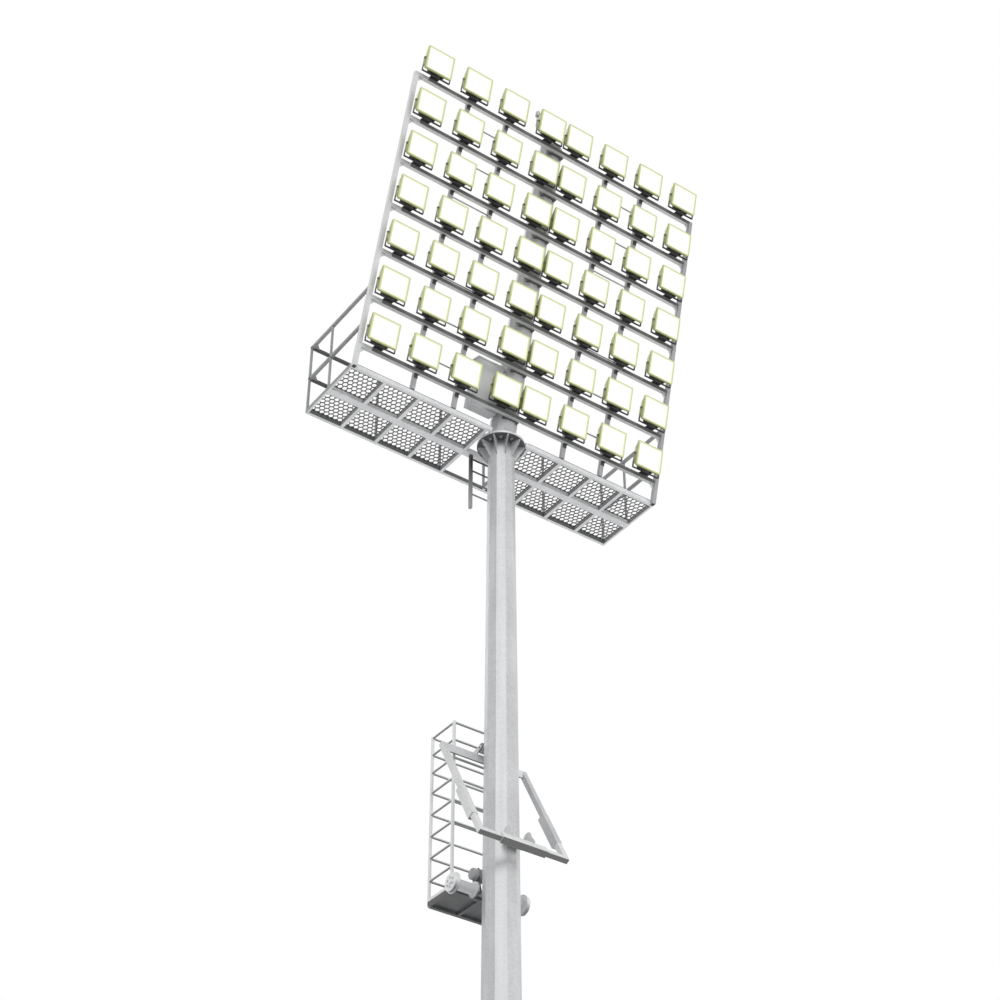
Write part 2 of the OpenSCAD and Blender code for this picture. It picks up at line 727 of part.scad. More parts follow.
module hoist_motor() color(steel) translate([0, motor_y, motor_z]) rotate([0, 90, 0]) {
    neck_r = motor_r * 0.6;
    cap_len = 80;
    between = bearing_x - ear_t / 2;
    cylinder(r = motor_r, h = 2 * between, center = true, $fn = 64);
    cylinder(r = neck_r, h = 2 * between + 2 * ear_t + cap_len, center = true, $fn = 48);
    for (side = [-1, 1])
        translate([0, 0, side * (between + ear_t + cap_len / 2)])
            cylinder(r = motor_r * 0.9, h = cap_len, center = true, $fn = 64);
}

module reel_bearings() color(dark_steel) {
    boss_r = 1.8 * reel_shaft;
    back = cage_front - cage_post / 2;
    for (side = [-1, 1]) translate([side * bearing_x, 0, 0]) plate_yz(ear_t) difference() {
        union() {
            polygon([[back, lift_h], [back, motor_z + motor_r], [motor_y - motor_r / 2, motor_z + motor_r],
                     [motor_y - motor_r / 2, motor_z], [reel_y - boss_r, reel_axis_z], [reel_y, reel_axis_z - boss_r]]);
            translate([reel_y, reel_axis_z]) circle(r = boss_r, $fn = 48);
        }
        translate([reel_y, reel_axis_z]) circle(r = reel_shaft + pin_gap, $fn = 48);
        translate([motor_y, motor_z]) circle(r = motor_r * 0.6 + fit, $fn = 48);
    }
}

module rope_reels() color(light_steel) translate([0, reel_y, reel_axis_z]) rotate([0, 90, 0]) {
    disc_t = 60;
    flange_w = 22;
    inner_x = bearing_x + ear_t / 2 + 60;
    cylinder(r = reel_shaft, h = 2 * reel_x + 2 * disc_t + 20, center = true, $fn = 48);
    for (side = [-1, 1]) rotate([0, side > 0 ? 0 : 180, 0]) {
        translate([0, 0, inner_x]) cylinder(r = reel_inner_r, h = flange_w, $fn = 72);
        translate([0, 0, inner_x]) cylinder(r = drum_r, h = reel_x - inner_x, $fn = 48);
        translate([0, 0, reel_x]) cylinder(r = reel_r, h = disc_t / 3, $fn = 96);
        translate([0, 0, reel_x + disc_t / 3]) cylinder(r = reel_r * 0.88, h = disc_t * 2 / 3, $fn = 96);
    }
}

// Drawing

base_plate();
mast_lower();
access_door();
mast_upper();
mast_flange();
head_flange();
head_spine();
spine_brackets();
frame_post(-1);  // frame_post_left
frame_post(1);  // frame_post_right
uprights(-1);  // uprights_left
uprights(1);  // uprights_right
for (r = [1:rows]) {
    rail(r);
    lamp_heads(r);
    lamp_yokes(r);
}
mirror([1, 0, 0]) deck_frame();  // deck_frame_left
deck_frame();  // deck_frame_right
mirror([1, 0, 0]) grating();  // grating_left
grating();  // grating_right
bridge_beams();
guard_rail_rear();
guard_rail_end(-1);  // guard_rail_left
guard_rail_end(1);  // guard_rail_right
platform_ladder();
gear_cabinet();
lightning_rod();
obstruction_light();
cage_side(-1);  // cage_left_side
cage_side(1);  // cage_right_side
cage_rungs();
cage_floor();
top_beam();
lift_arm(-1);  // lift_arm_left
lift_arm(1);  // lift_arm_right
rear_roller();
front_beam();
front_tube(-1);  // front_tube_left
front_tube(1);  // front_tube_right
front_roller();
hoist_motor();
rope_reels();
reel_bearings();
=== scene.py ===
# %% [markdown]
# # A stadium floodlight pylon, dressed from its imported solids
# The pylon is a ten-sided steel mast, twenty metres tall, that carries a leaning frame with seven rows of
# eight floodlights, a service platform behind them, and a small lift that climbs the mast. The solids give
# every size. This lesson adds what solids alone can't show: cast lamp housings, glowing lenses, bolts,
# louvres, rope, and finishes of zinc, paint and rubber.

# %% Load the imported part
from math import atan2, cos, hypot, pi, radians, sin

import bmesh
import bpy
from mathutils import Matrix, Vector


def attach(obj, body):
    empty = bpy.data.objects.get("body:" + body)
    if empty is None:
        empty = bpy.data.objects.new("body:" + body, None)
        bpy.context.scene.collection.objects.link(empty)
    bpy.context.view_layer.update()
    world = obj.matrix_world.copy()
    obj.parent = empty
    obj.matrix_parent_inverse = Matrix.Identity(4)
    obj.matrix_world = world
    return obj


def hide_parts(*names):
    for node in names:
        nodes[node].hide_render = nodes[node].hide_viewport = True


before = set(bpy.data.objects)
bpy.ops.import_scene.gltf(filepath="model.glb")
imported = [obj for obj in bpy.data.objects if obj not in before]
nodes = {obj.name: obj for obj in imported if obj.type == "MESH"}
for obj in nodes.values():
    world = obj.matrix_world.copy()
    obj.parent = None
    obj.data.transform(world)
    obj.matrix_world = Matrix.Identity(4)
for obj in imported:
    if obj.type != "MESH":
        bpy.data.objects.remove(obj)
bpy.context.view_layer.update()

# %% [markdown]
# The picture looks up at the lamps from near the ground, in front and to the left. The camera was worked
# out from the rows of lamps, which are evenly spaced. It needed no lens shift.

# %% Camera
def into_scene(name, data):
    """An object that shows the data, linked into the scene."""
    made = bpy.data.objects.new(name, data)
    bpy.context.scene.collection.objects.link(made)
    return made


lens_data = bpy.data.cameras.new("field_camera")
lens_data.lens = 71.118
lens_data.sensor_width = 36
lens_data.clip_end = 500
field_camera = into_scene("field_camera", lens_data)
field_camera.location = (-12.698, -17.739, 1.645)
field_camera.rotation_euler = (radians(128.51), 0, radians(-35.556))
bpy.context.scene.camera = field_camera
bpy.context.scene.view_settings.view_transform = "Standard"
print("camera at", tuple(field_camera.location))

# %% [markdown]
# ## Writing finishes as sums
# A finish is a graph of nodes. Written out node by node it is hard to read, so a small class wraps a
# socket and lets Python's own operators add the Math nodes. Every other node comes from one method, which
# takes its type, its settings and its sockets.

# %% A socket that can be added, and a sheet of nodes
def operator(operation, swapped=False):
    """A method that answers one of Python's operators with a Math node."""
    def work(self, other):
        a, b = (other, self) if swapped else (self, other)
        return self.sheet.node("Math", {"operation": operation}, {0: a, 1: b})
    return work


class Wire:
    def __init__(self, sheet, socket):
        self.sheet, self.socket = sheet, socket

    __add__ = operator("ADD")
    __radd__ = operator("ADD", swapped=True)
    __sub__ = operator("SUBTRACT")
    __rsub__ = operator("SUBTRACT", swapped=True)
    __mul__ = operator("MULTIPLY")
    __rmul__ = operator("MULTIPLY", swapped=True)
    __truediv__ = operator("DIVIDE")
    __pow__ = operator("POWER")


class Sheet:
    def __init__(self, tree):
        self.tree = tree
        tree.nodes.clear()

    def node(self, kind, settings=None, sockets=None, out=0):
        made = self.tree.nodes.new("ShaderNode" + kind)
        for key, value in (settings or {}).items():
            if key == "stops":
                ramp = made.color_ramp.elements
                while len(ramp) < len(value):
                    ramp.new(0.5)
                for element, (position, colour) in zip(ramp, value):
                    element.position, element.color = position, tone(*colour)
            else:
                setattr(made, key, value)
        for key, value in (sockets or {}).items():
            if isinstance(value, Wire):
                self.tree.links.new(value.socket, made.inputs[key])
            else:
                made.inputs[key].default_value = value
        return Wire(self, made.outputs[out]) if made.outputs else None

    def clamp(self, value):
        return self.node("Clamp", None, {"Value": value, "Min": 0.0, "Max": 1.0})

    def mix(self, factor, *colours):
        """A mix of two colours, each a wire or what tone takes."""
        a, b = [c if isinstance(c, Wire) else tone(*c) for c in colours]
        return self.node("Mix", {"data_type": "RGBA"}, {0: factor, 6: a, 7: b}, out=2)

    def place(self, stretch=(1, 1, 1)):
        spot = self.node("TexCoord", out="Object")
        return self.node("Mapping", None, {"Vector": spot, "Scale": stretch})

    def noise(self, scale, detail=4, stretch=(1, 1, 1)):
        return self.node("TexNoise", None, {"Vector": self.place(stretch), "Scale": scale, "Detail": detail})

    def cells(self, scale):
        colour = self.node("TexVoronoi", None, {"Vector": self.place(), "Scale": scale}, out="Color")
        return self.node("SeparateColor", None, {0: colour})

    def reach(self, axis):
        """How far a point lies along x, y or z."""
        return self.node("SeparateXYZ", None, {0: self.node("TexCoord", out="Object")}, out=axis)

    def dot(self, vector, direction):
        sockets = {0: vector, 1: tuple(direction)}
        return self.node("VectorMath", {"operation": "DOT_PRODUCT"}, sockets, out="Value")

    def along(self, direction):
        """How far a point lies along any direction."""
        return self.dot(self.node("TexCoord", out="Object"), direction)

    def facing(self, direction):
        """How nearly a face looks in a direction: 1 straight along it, -1 the other way."""
        return self.dot(self.node("NewGeometry", out="Normal"), direction)

    def bump(self, height, strength, distance):
        return self.node("Bump", None, {"Height": height, "Strength": strength, "Distance": distance})

    def stain(self, sockets, share, colour):
        """Lays another colour over a finish, by a share."""
        sockets["Base Color"] = self.mix(share, sockets["Base Color"], colour)
        return sockets


def tone(red, green, blue):
    """A colour given as the eye sees it, 0 to 255, in the renderer's own scale."""
    shares = [v / 255 for v in (red, green, blue)]
    return (*[((v + 0.055) / 1.055) ** 2.4 if v > 0.04 else v / 12.92 for v in shares], 1)


def finish(name, build):
    """A material whose surface is described by build(sheet), which returns the sockets of its shader."""
    material = bpy.data.materials.new(name)
    material.use_nodes = True
    sheet = Sheet(material.node_tree)
    shader = sheet.node("BsdfPrincipled", None, build(sheet), out="BSDF")
    sheet.node("OutputMaterial", None, {"Surface": shader})
    return material


print("finish writer ready; mid grey is", [round(v, 3) for v in tone(128, 128, 128)])

# %% [markdown]
# ## Zinc
# Almost all of the steel is hot-dip galvanised. Zinc freezes into flat crystals, the spangle, and weathers
# to a soft patchy grey with pale runs below the joints. Painted speckle would look the same at every
# scale, so three layers are used: crystals of about fifteen millimetres, clouds of half a metre, and runs
# stretched down the steel.

# %% Zinc finishes
def zinc(pale, dark, crystal=60, cloud=2.2, run=0.25, rough=0.45, metal=0.3):
    def build(sheet):
        spangle = sheet.cells(crystal)
        clouds = sheet.noise(cloud, 6)
        runs = sheet.noise(7, 5, (1, 1, 0.06))
        shade = sheet.clamp(0.5 + 0.5 * (spangle - 0.5) + 1.1 * (clouds - 0.5) + run * 3 * (runs - 0.5))
        return {
            "Base Color": sheet.mix(shade, dark, pale),
            "Metallic": metal,
            "Roughness": sheet.clamp(rough + 0.18 * (clouds - 0.5) + 0.12 * (spangle - 0.5)),
            "Normal": sheet.bump(spangle + clouds, 0.12, 0.002),
        }
    return build


def mast_skin(sheet):
    """Zinc with painted shade over the last hand's breadths below the top flange."""
    sockets = zinc((209, 210, 211), (181, 183, 185), crystal=45, run=0.5)(sheet)
    # painted shade: the zinc darkens towards the underside of the top flange
    flange_shade = sheet.clamp((sheet.reach(2) - 19.72) / 0.24) ** 1.5 * 0.75
    return sheet.stain(sockets, flange_shade, (92, 92, 94))


def shaded_below(pale, dark, shade_colour):
    """Zinc with painted shade on its downward faces."""
    def build(sheet):
        sockets = zinc(pale, dark)(sheet)
        # painted shade on the faces that look down
        under = sheet.clamp(sheet.facing((0, 0, -1)) * 1.3)
        return sheet.stain(sockets, under, shade_colour)
    return build


def deck_skin(sheet):
    """Zinc with painted shade on the inner face of the rear beam, and a duller grey painted shade on the
    bars' left sides.
    """
    sockets = zinc((236, 236, 237), (206, 207, 209), rough=0.55)(sheet)
    # painted shade on the rear beam's inner face, which looks forward
    shaded_side = sheet.clamp((sheet.reach(1) - 0.9) * 20) * sheet.clamp(sheet.facing((0, -1, 0)))
    sheet.stain(sockets, shaded_side * 0.85, (84, 84, 86))
    # painted shade on the faces that look left
    left_side_shade = sheet.clamp(sheet.facing((-1, 0, 0))) * 0.85
    return sheet.stain(sockets, left_side_shade, (132, 132, 134))


mast_zinc = finish("mast_zinc", mast_skin)
# the flange carries painted shade on its downward faces
flange_zinc = finish("flange_zinc", shaded_below((222, 222, 223), (190, 191, 193), (88, 88, 90)))
frame_zinc = finish("frame_zinc", zinc((228, 228, 228), (200, 201, 202)))
head_zinc = finish("head_zinc", zinc((206, 206, 208), (172, 173, 176), rough=0.5))
# a darker copy of the frame's zinc: painted shade for the uprights behind the rails and for the right-hand
# post
shaded_upright_zinc = finish("shaded_upright_zinc", zinc((180, 180, 182), (150, 151, 153)))
deck_zinc = finish("deck_zinc", deck_skin)
# a darker zinc for the guard's posts and side rails: painted shade
shaded_guard_zinc = finish("shaded_guard_zinc", zinc((172, 172, 173), (138, 139, 141), rough=0.55, metal=0.2))
# near-black zinc for the rear rails: painted shade
shaded_rail_zinc = finish("shaded_rail_zinc", zinc((92, 92, 93), (64, 65, 67), rough=0.55, metal=0.2))
# a darker copy of the lift's zinc: painted shade for the right arm's inner face
shaded_side_zinc = finish("shaded_side_zinc", zinc((206, 206, 207), (178, 179, 181)))
# the lift and the cage carry painted shade on their downward faces
lift_zinc = finish("lift_zinc", shaded_below((230, 230, 230), (202, 203, 204), (112, 112, 112)))
cage_zinc = finish("cage_zinc", shaded_below((238, 238, 238), (216, 217, 218), (132, 132, 133)))
grating_zinc = finish("grating_zinc", zinc((112, 112, 113), (72, 73, 75), crystal=90, rough=0.6, metal=0.2))
bolt_zinc = finish("bolt_zinc", zinc((190, 190, 188), (140, 141, 142), crystal=160, rough=0.35, metal=0.7))
print("zinc finishes: mast, flange, frame, head, uprights, deck, guard, shaded_rail, lee, lift, cage, "
      "grating, bolts")

# %% [markdown]
# ## Paints and plastics
# The stirrups that hold the lamps are stove-enamelled almost black, the saddles and the ladder are a dark
# grey paint, and the gear cabinet is powder-coated. Powder coat has a fine orange peel, and dark paint
# chalks and gathers pale dust on faces that look up, so the dust follows the surface's own direction.

# %% Paint finishes
def paint(pale, dark, dust, peel=220, rough=0.5):
    def build(sheet):
        skin = sheet.noise(peel, 2)
        patches = sheet.noise(4, 5)
        upward = sheet.clamp(sheet.facing((0, 0, 1)) * patches * 0.7)
        body = sheet.mix(sheet.clamp(patches * 1.6 - 0.3), dark, pale)
        return {
            "Base Color": sheet.mix(upward, body, dust),
            "Roughness": sheet.clamp(rough + 0.3 * (patches - 0.5)),
            "Normal": sheet.bump(skin, 0.15, 0.001),
        }
    return build


stove_enamel = paint((52, 52, 54), (34, 34, 36), (96, 95, 92), rough=0.42)
enamel_black = finish("enamel_black", stove_enamel)
dark_paint = finish("dark_paint", paint((98, 98, 100), (74, 74, 76), (132, 131, 128)))
duct_paint = finish("duct_paint", paint((112, 112, 113), (88, 88, 90), (140, 139, 136), rough=0.6))
cabinet_coat = finish("cabinet_coat", paint((226, 227, 228), (204, 205, 207), (228, 227, 222), peel=300))
motor_coat = finish("motor_coat", paint((200, 201, 203), (146, 147, 150), (206, 204, 198)))


def ladder_paint(sheet):
    """Dark paint near the platform that turns a pale grey towards the free lower end."""
    sockets = paint((74, 74, 76), (54, 54, 56), (110, 109, 106))(sheet)
    lower_paling = sheet.clamp((19.86 - sheet.reach(2)) / 0.75)
    return sheet.stain(sockets, lower_paling, (160, 160, 161))


ladder_coat = finish("ladder_coat", ladder_paint)
print("paint finishes: enamel, dark paint, duct, cabinet, motor, ladder")

# %% [markdown]
# The rollers are cast polyurethane, which scuffs to a dull grey where it runs on the mast. The obstruction
# light is a grey dome of clear-coated plastic.

# %% Plastic finishes
def scuffed_rubber(sheet):
    scuffs = sheet.noise(30, 6, (0.2, 1, 1))
    return {
        "Base Color": sheet.mix(sheet.clamp(scuffs * 2 - 0.6), (126, 126, 126), (178, 177, 175)),
        "Roughness": sheet.clamp(0.55 + 0.4 * (scuffs - 0.5)),
        "Normal": sheet.bump(scuffs, 0.2, 0.002),
    }


def beacon_plastic(sheet):
    haze = sheet.noise(18, 4)
    return {
        "Base Color": sheet.mix(haze, (150, 150, 150), (196, 196, 194)),
        "Roughness": sheet.clamp(0.2 + 0.25 * haze),
        "Coat Weight": 0.6,
    }


roller_rubber = finish("roller_rubber", scuffed_rubber)
beacon_dome = finish("beacon_dome", beacon_plastic)
print("plastic finishes: rollers, beacon")

# %% [markdown]
# ## Finishing the solids
# Solids whose shape is already right keep it. Only their material slots are filled.

# %% Dress the solids
finish_of = {
    mast_zinc: ["base_plate", "mast_lower", "access_door", "mast_upper"],
    flange_zinc: ["mast_flange"],
    head_zinc: ["head_flange", "head_spine"],
    frame_zinc: ["frame_post_left"] + [f"rail_{r}" for r in range(1, 8)],
    # the right-hand post takes the darker zinc as painted shade on its visible side
    shaded_upright_zinc: ["frame_post_right", "uprights_left", "uprights_right"],
    dark_paint: ["spine_brackets", "reel_bearings"],
    deck_zinc: ["lightning_rod"],
    grating_zinc: ["cage_floor"],
    cabinet_coat: ["gear_cabinet"],
    lift_zinc: ["top_beam", "front_tube_left", "front_tube_right"],
}


def dress(material, names):
    for name in names:
        nodes[name].data.materials.clear()
        nodes[name].data.materials.append(material)


for material, names in finish_of.items():
    dress(material, names)
print("dressed", sum(len(names) for names in finish_of.values()), "solids")

# %% [markdown]
# ## Putting a piece together
# Small parts repeat many times: fifty-six lamps, hundreds of bolts. Building each as an object of its own
# would be slow, so a shape collects corner points and faces, copies smaller shapes into itself, and
# becomes one piece.

# %% A shape, and the step that makes it a piece
class Shape:
    def __init__(self):
        self.points, self.faces = [], []

    def add(self, points, faces, place=Matrix()):
        start = len(self.points)
        self.points += [place @ Vector(p) for p in points]
        self.faces += [tuple(start + i for i in face) for face in faces]
        return self

    def copy_in(self, other, place):
        return self.add(other.points, other.faces, place)

    def loft(self, rings, place=Matrix(), caps=(True, True)):
        """A skin over rings that all have the same number of points."""
        n = len(rings[0])
        faces = [(k * n + i, k * n + (i + 1) % n, (k + 1) * n + (i + 1) % n, (k + 1) * n + i)
                 for k in range(len(rings) - 1) for i in range(n)]
        if caps[0]:
            faces.append(tuple(range(n)))
        if caps[1]:
            faces.append(tuple(range((len(rings) - 1) * n, len(rings) * n)))
        return self.add([p for ring in rings for p in ring], faces, place)

    def box(self, low, high, place=Matrix()):
        (a, b, c), (d, e, f) = low, high
        return self.loft([[(a, b, z), (d, b, z), (d, e, z), (a, e, z)] for z in (c, f)], place)

    def draw(self, outline, ends, place=Matrix()):
        """An outline of y and z drawn along x, from one end to the other."""
        return self.loft([[(x, y, z) for y, z in outline] for x in ends], place)

    def turn(self, profile, place=Matrix(), sides=24, caps=(True, True)):
        """A profile of radius and height turned about z."""
        angles = [2 * pi * i / sides for i in range(sides)]
        return self.loft([[(r * cos(a), r * sin(a), z) for a in angles] for r, z in profile], place, caps)


def make_piece(name, shape, material, body="pylon", stands_for=(), bevel=0.0):
    mesh = bpy.data.meshes.new(name)
    mesh.from_pydata([tuple(p) for p in shape.points], [], shape.faces)
    loose = bmesh.new()
    loose.from_mesh(mesh)
    bmesh.ops.recalc_face_normals(loose, faces=loose.faces)
    loose.to_mesh(mesh)
    loose.free()
    mesh.shade_smooth()
    mesh.set_sharp_from_angle(angle=radians(32))
    mesh.materials.append(material)
    made = into_scene(name, mesh)
    if bevel:
        edges = made.modifiers.new("edges", "BEVEL")
        edges.width, edges.segments, edges.limit_method = bevel, 2, "ANGLE"
        edges.angle_limit = radians(40)
    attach(made, body)
    if stands_for:
        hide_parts(*stands_for)
    print(f"{name}: {len(mesh.vertices)} points, {len(mesh.polygons)} faces, on {body}")
    return made


def at(x, y, z):
    return Matrix.Translation((x, y, z))


def turned(angle, axis):
    return Matrix.Rotation(radians(angle), 4, axis)


# %% [markdown]
# ## The lamp frame's own plane
# The lamps, rails and stirrups stand in a plane that leans fifteen degrees towards the field. Everything on
# it is easier to place in that plane, so one matrix carries it there. The sizes are those of the solids,
# in metres.

# %% Leaning plane and lamp places
PLATFORM = 20.0
LEAN = 15
TUBE = 0.064
FRAME_Y = -0.213115
POST_X = 2.638
SIDES = ((-1, "left"), (1, "right"))
leaning = at(0, FRAME_Y, PLATFORM) @ turned(LEAN, "X")
LEAN_SIN, LEAN_COS = sin(radians(LEAN)), cos(radians(LEAN))
FIRST_COLUMN, COLUMN_PITCH = 0.261, 0.700
LOWEST_LAMP, ROW_PITCH = 0.631, 0.786
COLUMNS = [side * (FIRST_COLUMN + COLUMN_PITCH * i) for side in (-1, 1) for i in range(4)]
UPRIGHTS = [side * (FIRST_COLUMN + COLUMN_PITCH * i) for side in (-1, 1) for i in (1, 2)]
TRUNNION = 0.095
RAIL_DROP = 0.278
ROWS = range(1, 8)


def lamp_height(row):
    return LOWEST_LAMP + (len(ROWS) - row) * ROW_PITCH


def lamp_places(row):
    return [leaning @ at(x, -TRUNNION, lamp_height(row)) for x in COLUMNS]


print("top row of lamps stands at", [round(v, 3) for v in lamp_places(1)[0].translation])

# %% [markdown]
# ## Lamp housings
# Each lamp is a die-cast tray: a square rim with rounded corners round the lens, sides that taper to a
# finned back. A block with a bevel would lose the rim, so the housing is lofted through rounded
# rectangles, from the lens seat forward over the rim and back to the cover.

# %% One lamp housing
LAMP_W, LAMP_H, LAMP_FRONT, LAMP_DEPTH = 0.464, 0.413, -0.065, 0.130


def rounded_outline(width, height, radius, y, steps=5):
    """Corner by corner round a rectangle in the plane of x and z."""
    outline = []
    for cx, cz, start in ((1, 1, 0), (-1, 1, 90), (-1, -1, 180), (1, -1, 270)):
        for i in range(steps + 1):
            angle = radians(start + 90 * i / steps)
            outline.append((cx * (width / 2 - radius) + radius * cos(angle), y,
                            cz * (height / 2 - radius) + radius * sin(angle)))
    return outline


def shifted(outline, z):
    return [(x, y, height + z) for x, y, height in outline]


HOUSING = [(0.392, 0.341, 0.006, 0.010), (0.396, 0.345, 0.007, 0.002), (0.400, 0.349, 0.008, 0.0),
           (0.430, 0.379, 0.010, 0.0), (0.458, 0.407, 0.012, 0.0), (0.464, 0.413, 0.014, 0.003),
           (0.464, 0.413, 0.014, 0.033), (0.458, 0.407, 0.022, 0.036), (0.454, 0.401, 0.030, 0.038),
           (0.448, 0.352, 0.036, 0.074), (0.436, 0.284, 0.036, 0.108), (0.424, 0.268, 0.036, 0.114)]
housing = Shape().loft([rounded_outline(w, h, r, LAMP_FRONT + back) for w, h, r, back in HOUSING])
FIN = [(0.046, -0.119), (0.065, -0.107), (0.065, 0.107), (0.046, 0.119)]
FIN_INSET, FIN_HALF = 0.040, 0.003
FIN_STEP = (LAMP_W - 2 * FIN_INSET) / 6
for i in range(7):
    x = -LAMP_W / 2 + FIN_INSET + i * FIN_STEP
    housing.draw(FIN, (x - FIN_HALF, x + FIN_HALF))
print("lamp housing:", len(housing.faces), "faces with its fins")

# %% [markdown]
# The fittings of a lamp are dark: a gear box low on the back, whose edge shows under the rim, its cable
# gland, and the pivot bolts that pass through the stirrup. The gear box's black enamel also paints the shade
# that falls on it behind the rim. They share one finish, so they are one shape.

# %% One lamp's fittings
def hexagon_bolt(across, height):
    """A hexagon head with a chamfered top, standing on z = 0."""
    r = across / 2 / cos(radians(30))
    return Shape().turn([(r, 0), (r, height * 0.8), (r * 0.86, height)], sides=6)


fittings = Shape()
GEAR_BOX = [(0.280, 0.194, -0.020), (0.280, 0.194, 0.044), (0.272, 0.186, 0.049)]
# the gear box's black enamel also paints the shade behind the rim
fittings.loft([shifted(rounded_outline(w, h, 0.012, y), -0.097) for w, h, y in GEAR_BOX])
fittings.turn([(0.016, 0), (0.016, 0.006), (0.012, 0.007), (0.011, 0.014), (0.007, 0.016)],
              at(0.095, 0.012, -0.194) @ turned(180, "X"), sides=12)
for side in (-1, 1):
    outward = at(side * LAMP_W / 2, 0, 0) @ turned(side * 90, "Y")
    fittings.turn([(0.024, -0.002), (0.024, 0.004), (0.008, 0.0055), (0.008, 0.014)], outward, sides=24)
    fittings.copy_in(hexagon_bolt(0.022, 0.006), outward @ at(0, 0, 0.014))
print("lamp fittings:", len(fittings.faces), "faces")

# %% [markdown]
# The cast housing carries painted light and shade: yellow-green at the rim, as if lit by the lens, falling
# off to a dull olive at the back and along the outside of the rim. The fall-off is painted by depth: the
# distance of a point behind the plane of the rims, which is the same for every lamp because they all stand in
# one leaning plane.

# %% Lamp finishes
depth_axis = leaning.to_3x3() @ Vector((0, 1, 0))
rim_plane = (leaning @ Vector((0, -TRUNNION + LAMP_FRONT, 0))).dot(depth_axis)


def nearness(sheet):
    """How near the lamp's edge a point is: 0 at the middle of the lens, 1 along the outside of the rim."""
    across = sheet.node("UVMap", {"uv_map": "lens"})
    parts = [sheet.node("SeparateXYZ", None, {0: across}, out=i) for i in (0, 1)]
    u, v = [sheet.node("Math", {"operation": "ABSOLUTE"}, {0: part}) for part in parts]
    return sheet.node("Math", {"operation": "MAXIMUM"}, {0: u, 1: v})


def cast_housing(sheet):
    depth = sheet.clamp((sheet.along(depth_axis) - rim_plane) / LAMP_DEPTH)
    grain = sheet.noise(240, 3)
    stains = sheet.noise(9, 5)
    outward = sheet.clamp((nearness(sheet) - 0.85) / 0.15)
    # painted light and shade: pale near the lens, darker towards the back and along the outside of the rim
    shade = sheet.clamp(0.40 * outward + 0.60 * depth + 0.10 * (stains - 0.5))
    stops = [(0.0, (246, 248, 218)), (0.18, (222, 226, 176)), (0.40, (186, 191, 134)),
             (0.64, (164, 167, 118)), (1.0, (112, 114, 86))]
    body = sheet.node("ValToRGB", {"stops": stops}, {0: shade})
    return {
        "Base Color": body,
        "Roughness": sheet.clamp(0.42 + 0.3 * (stains - 0.5)),
        "Metallic": 0.15,
        "Normal": sheet.bump(grain, 0.15, 0.001),
    }


def glowing_lens(sheet):
    rim = sheet.clamp((nearness(sheet) - 0.72) / 0.14)
    return {
        "Base Color": sheet.mix(rim, (252, 252, 250), (96, 98, 72)),
        "Roughness": 0.12,
        "Emission Color": sheet.mix(rim, (255, 255, 255), (232, 236, 186)),
        "Emission Strength": 1.0,
    }


rise_axis = leaning.to_3x3() @ Vector((0, 0, 1))
lamp_line = (leaning @ Vector((0, 0, lamp_height(7)))).dot(rise_axis)


def lit_enamel(sheet):
    """Black enamel that takes the lamps' yellow light on the arms beside the housings, row by row."""
    sockets = stove_enamel(sheet)
    rows_up = (sheet.along(rise_axis) - lamp_line) / ROW_PITCH + 0.5
    row = sheet.node("Math", {"operation": "FRACT"}, {0: rows_up})
    lit = sheet.clamp((row - 0.27) / 0.10)
    return sheet.stain(sockets, lit, (160, 162, 116))


housing_cast = finish("housing_cast", cast_housing)
lens_glow = finish("lens_glow", glowing_lens)
yoke_enamel = finish("yoke_enamel", lit_enamel)
print("rim plane is", round(rim_plane, 4), "m along the frame's depth")

# %% [markdown]
# The lens is a slightly crowned sheet of glass behind the rim. Lens and housing carry a map from -1 to 1
# across the lamp, so that their finishes know how near the outside a point is.

# %% All seven rows of lamps
LENS_W, LENS_H = 0.398, 0.347
CROWN = [(1.0, 0.012, 0.0090), (0.94, 0.012, 0.0072), (0.72, 0.012, 0.0048), (0.40, 0.012, 0.0034),
         (0.10, 0.006, 0.0030)]
lens = Shape().loft([rounded_outline(LENS_W * share, LENS_H * share, r, LAMP_FRONT + back)
                     for share, r, back in CROWN], caps=(False, True))


def map_lens(piece, places):
    """Writes how far each corner lies from its lamp's middle, as a share of half its width and height."""
    back = [place.inverted() for place in places]
    share = len(piece.data.vertices) // len(places)
    layer = piece.data.uv_layers.new(name="lens")
    for loop in piece.data.loops:
        point = back[loop.vertex_index // share] @ piece.data.vertices[loop.vertex_index].co
        layer.data[loop.index].uv = (2 * point.x / LAMP_W, 2 * point.z / LAMP_H)


def row_of(one, row):
    """Copies of one shape at all the lamps of a row."""
    copies = Shape()
    for place in lamp_places(row):
        copies.copy_in(one, place)
    return copies


for row in ROWS:
    body, places = f"lamp_row_{row}", lamp_places(row)
    housings = make_piece(f"lamp_housings_{row}", row_of(housing, row), housing_cast, body,
                          [f"lamp_heads_{row}"])
    make_piece(f"lamp_fittings_{row}", row_of(fittings, row), enamel_black, body)
    lenses = make_piece(f"lamp_lenses_{row}", row_of(lens, row), lens_glow, body)
    map_lens(housings, places)
    map_lens(lenses, places)

# %% [markdown]
# Each lamp hangs in a stirrup bent from a narrow strap: an eye at each end for the pivot bolt, and a block
# welded under its middle that sits on the rail. The eye is a ring, so that the bolt has a real hole to
# turn in.

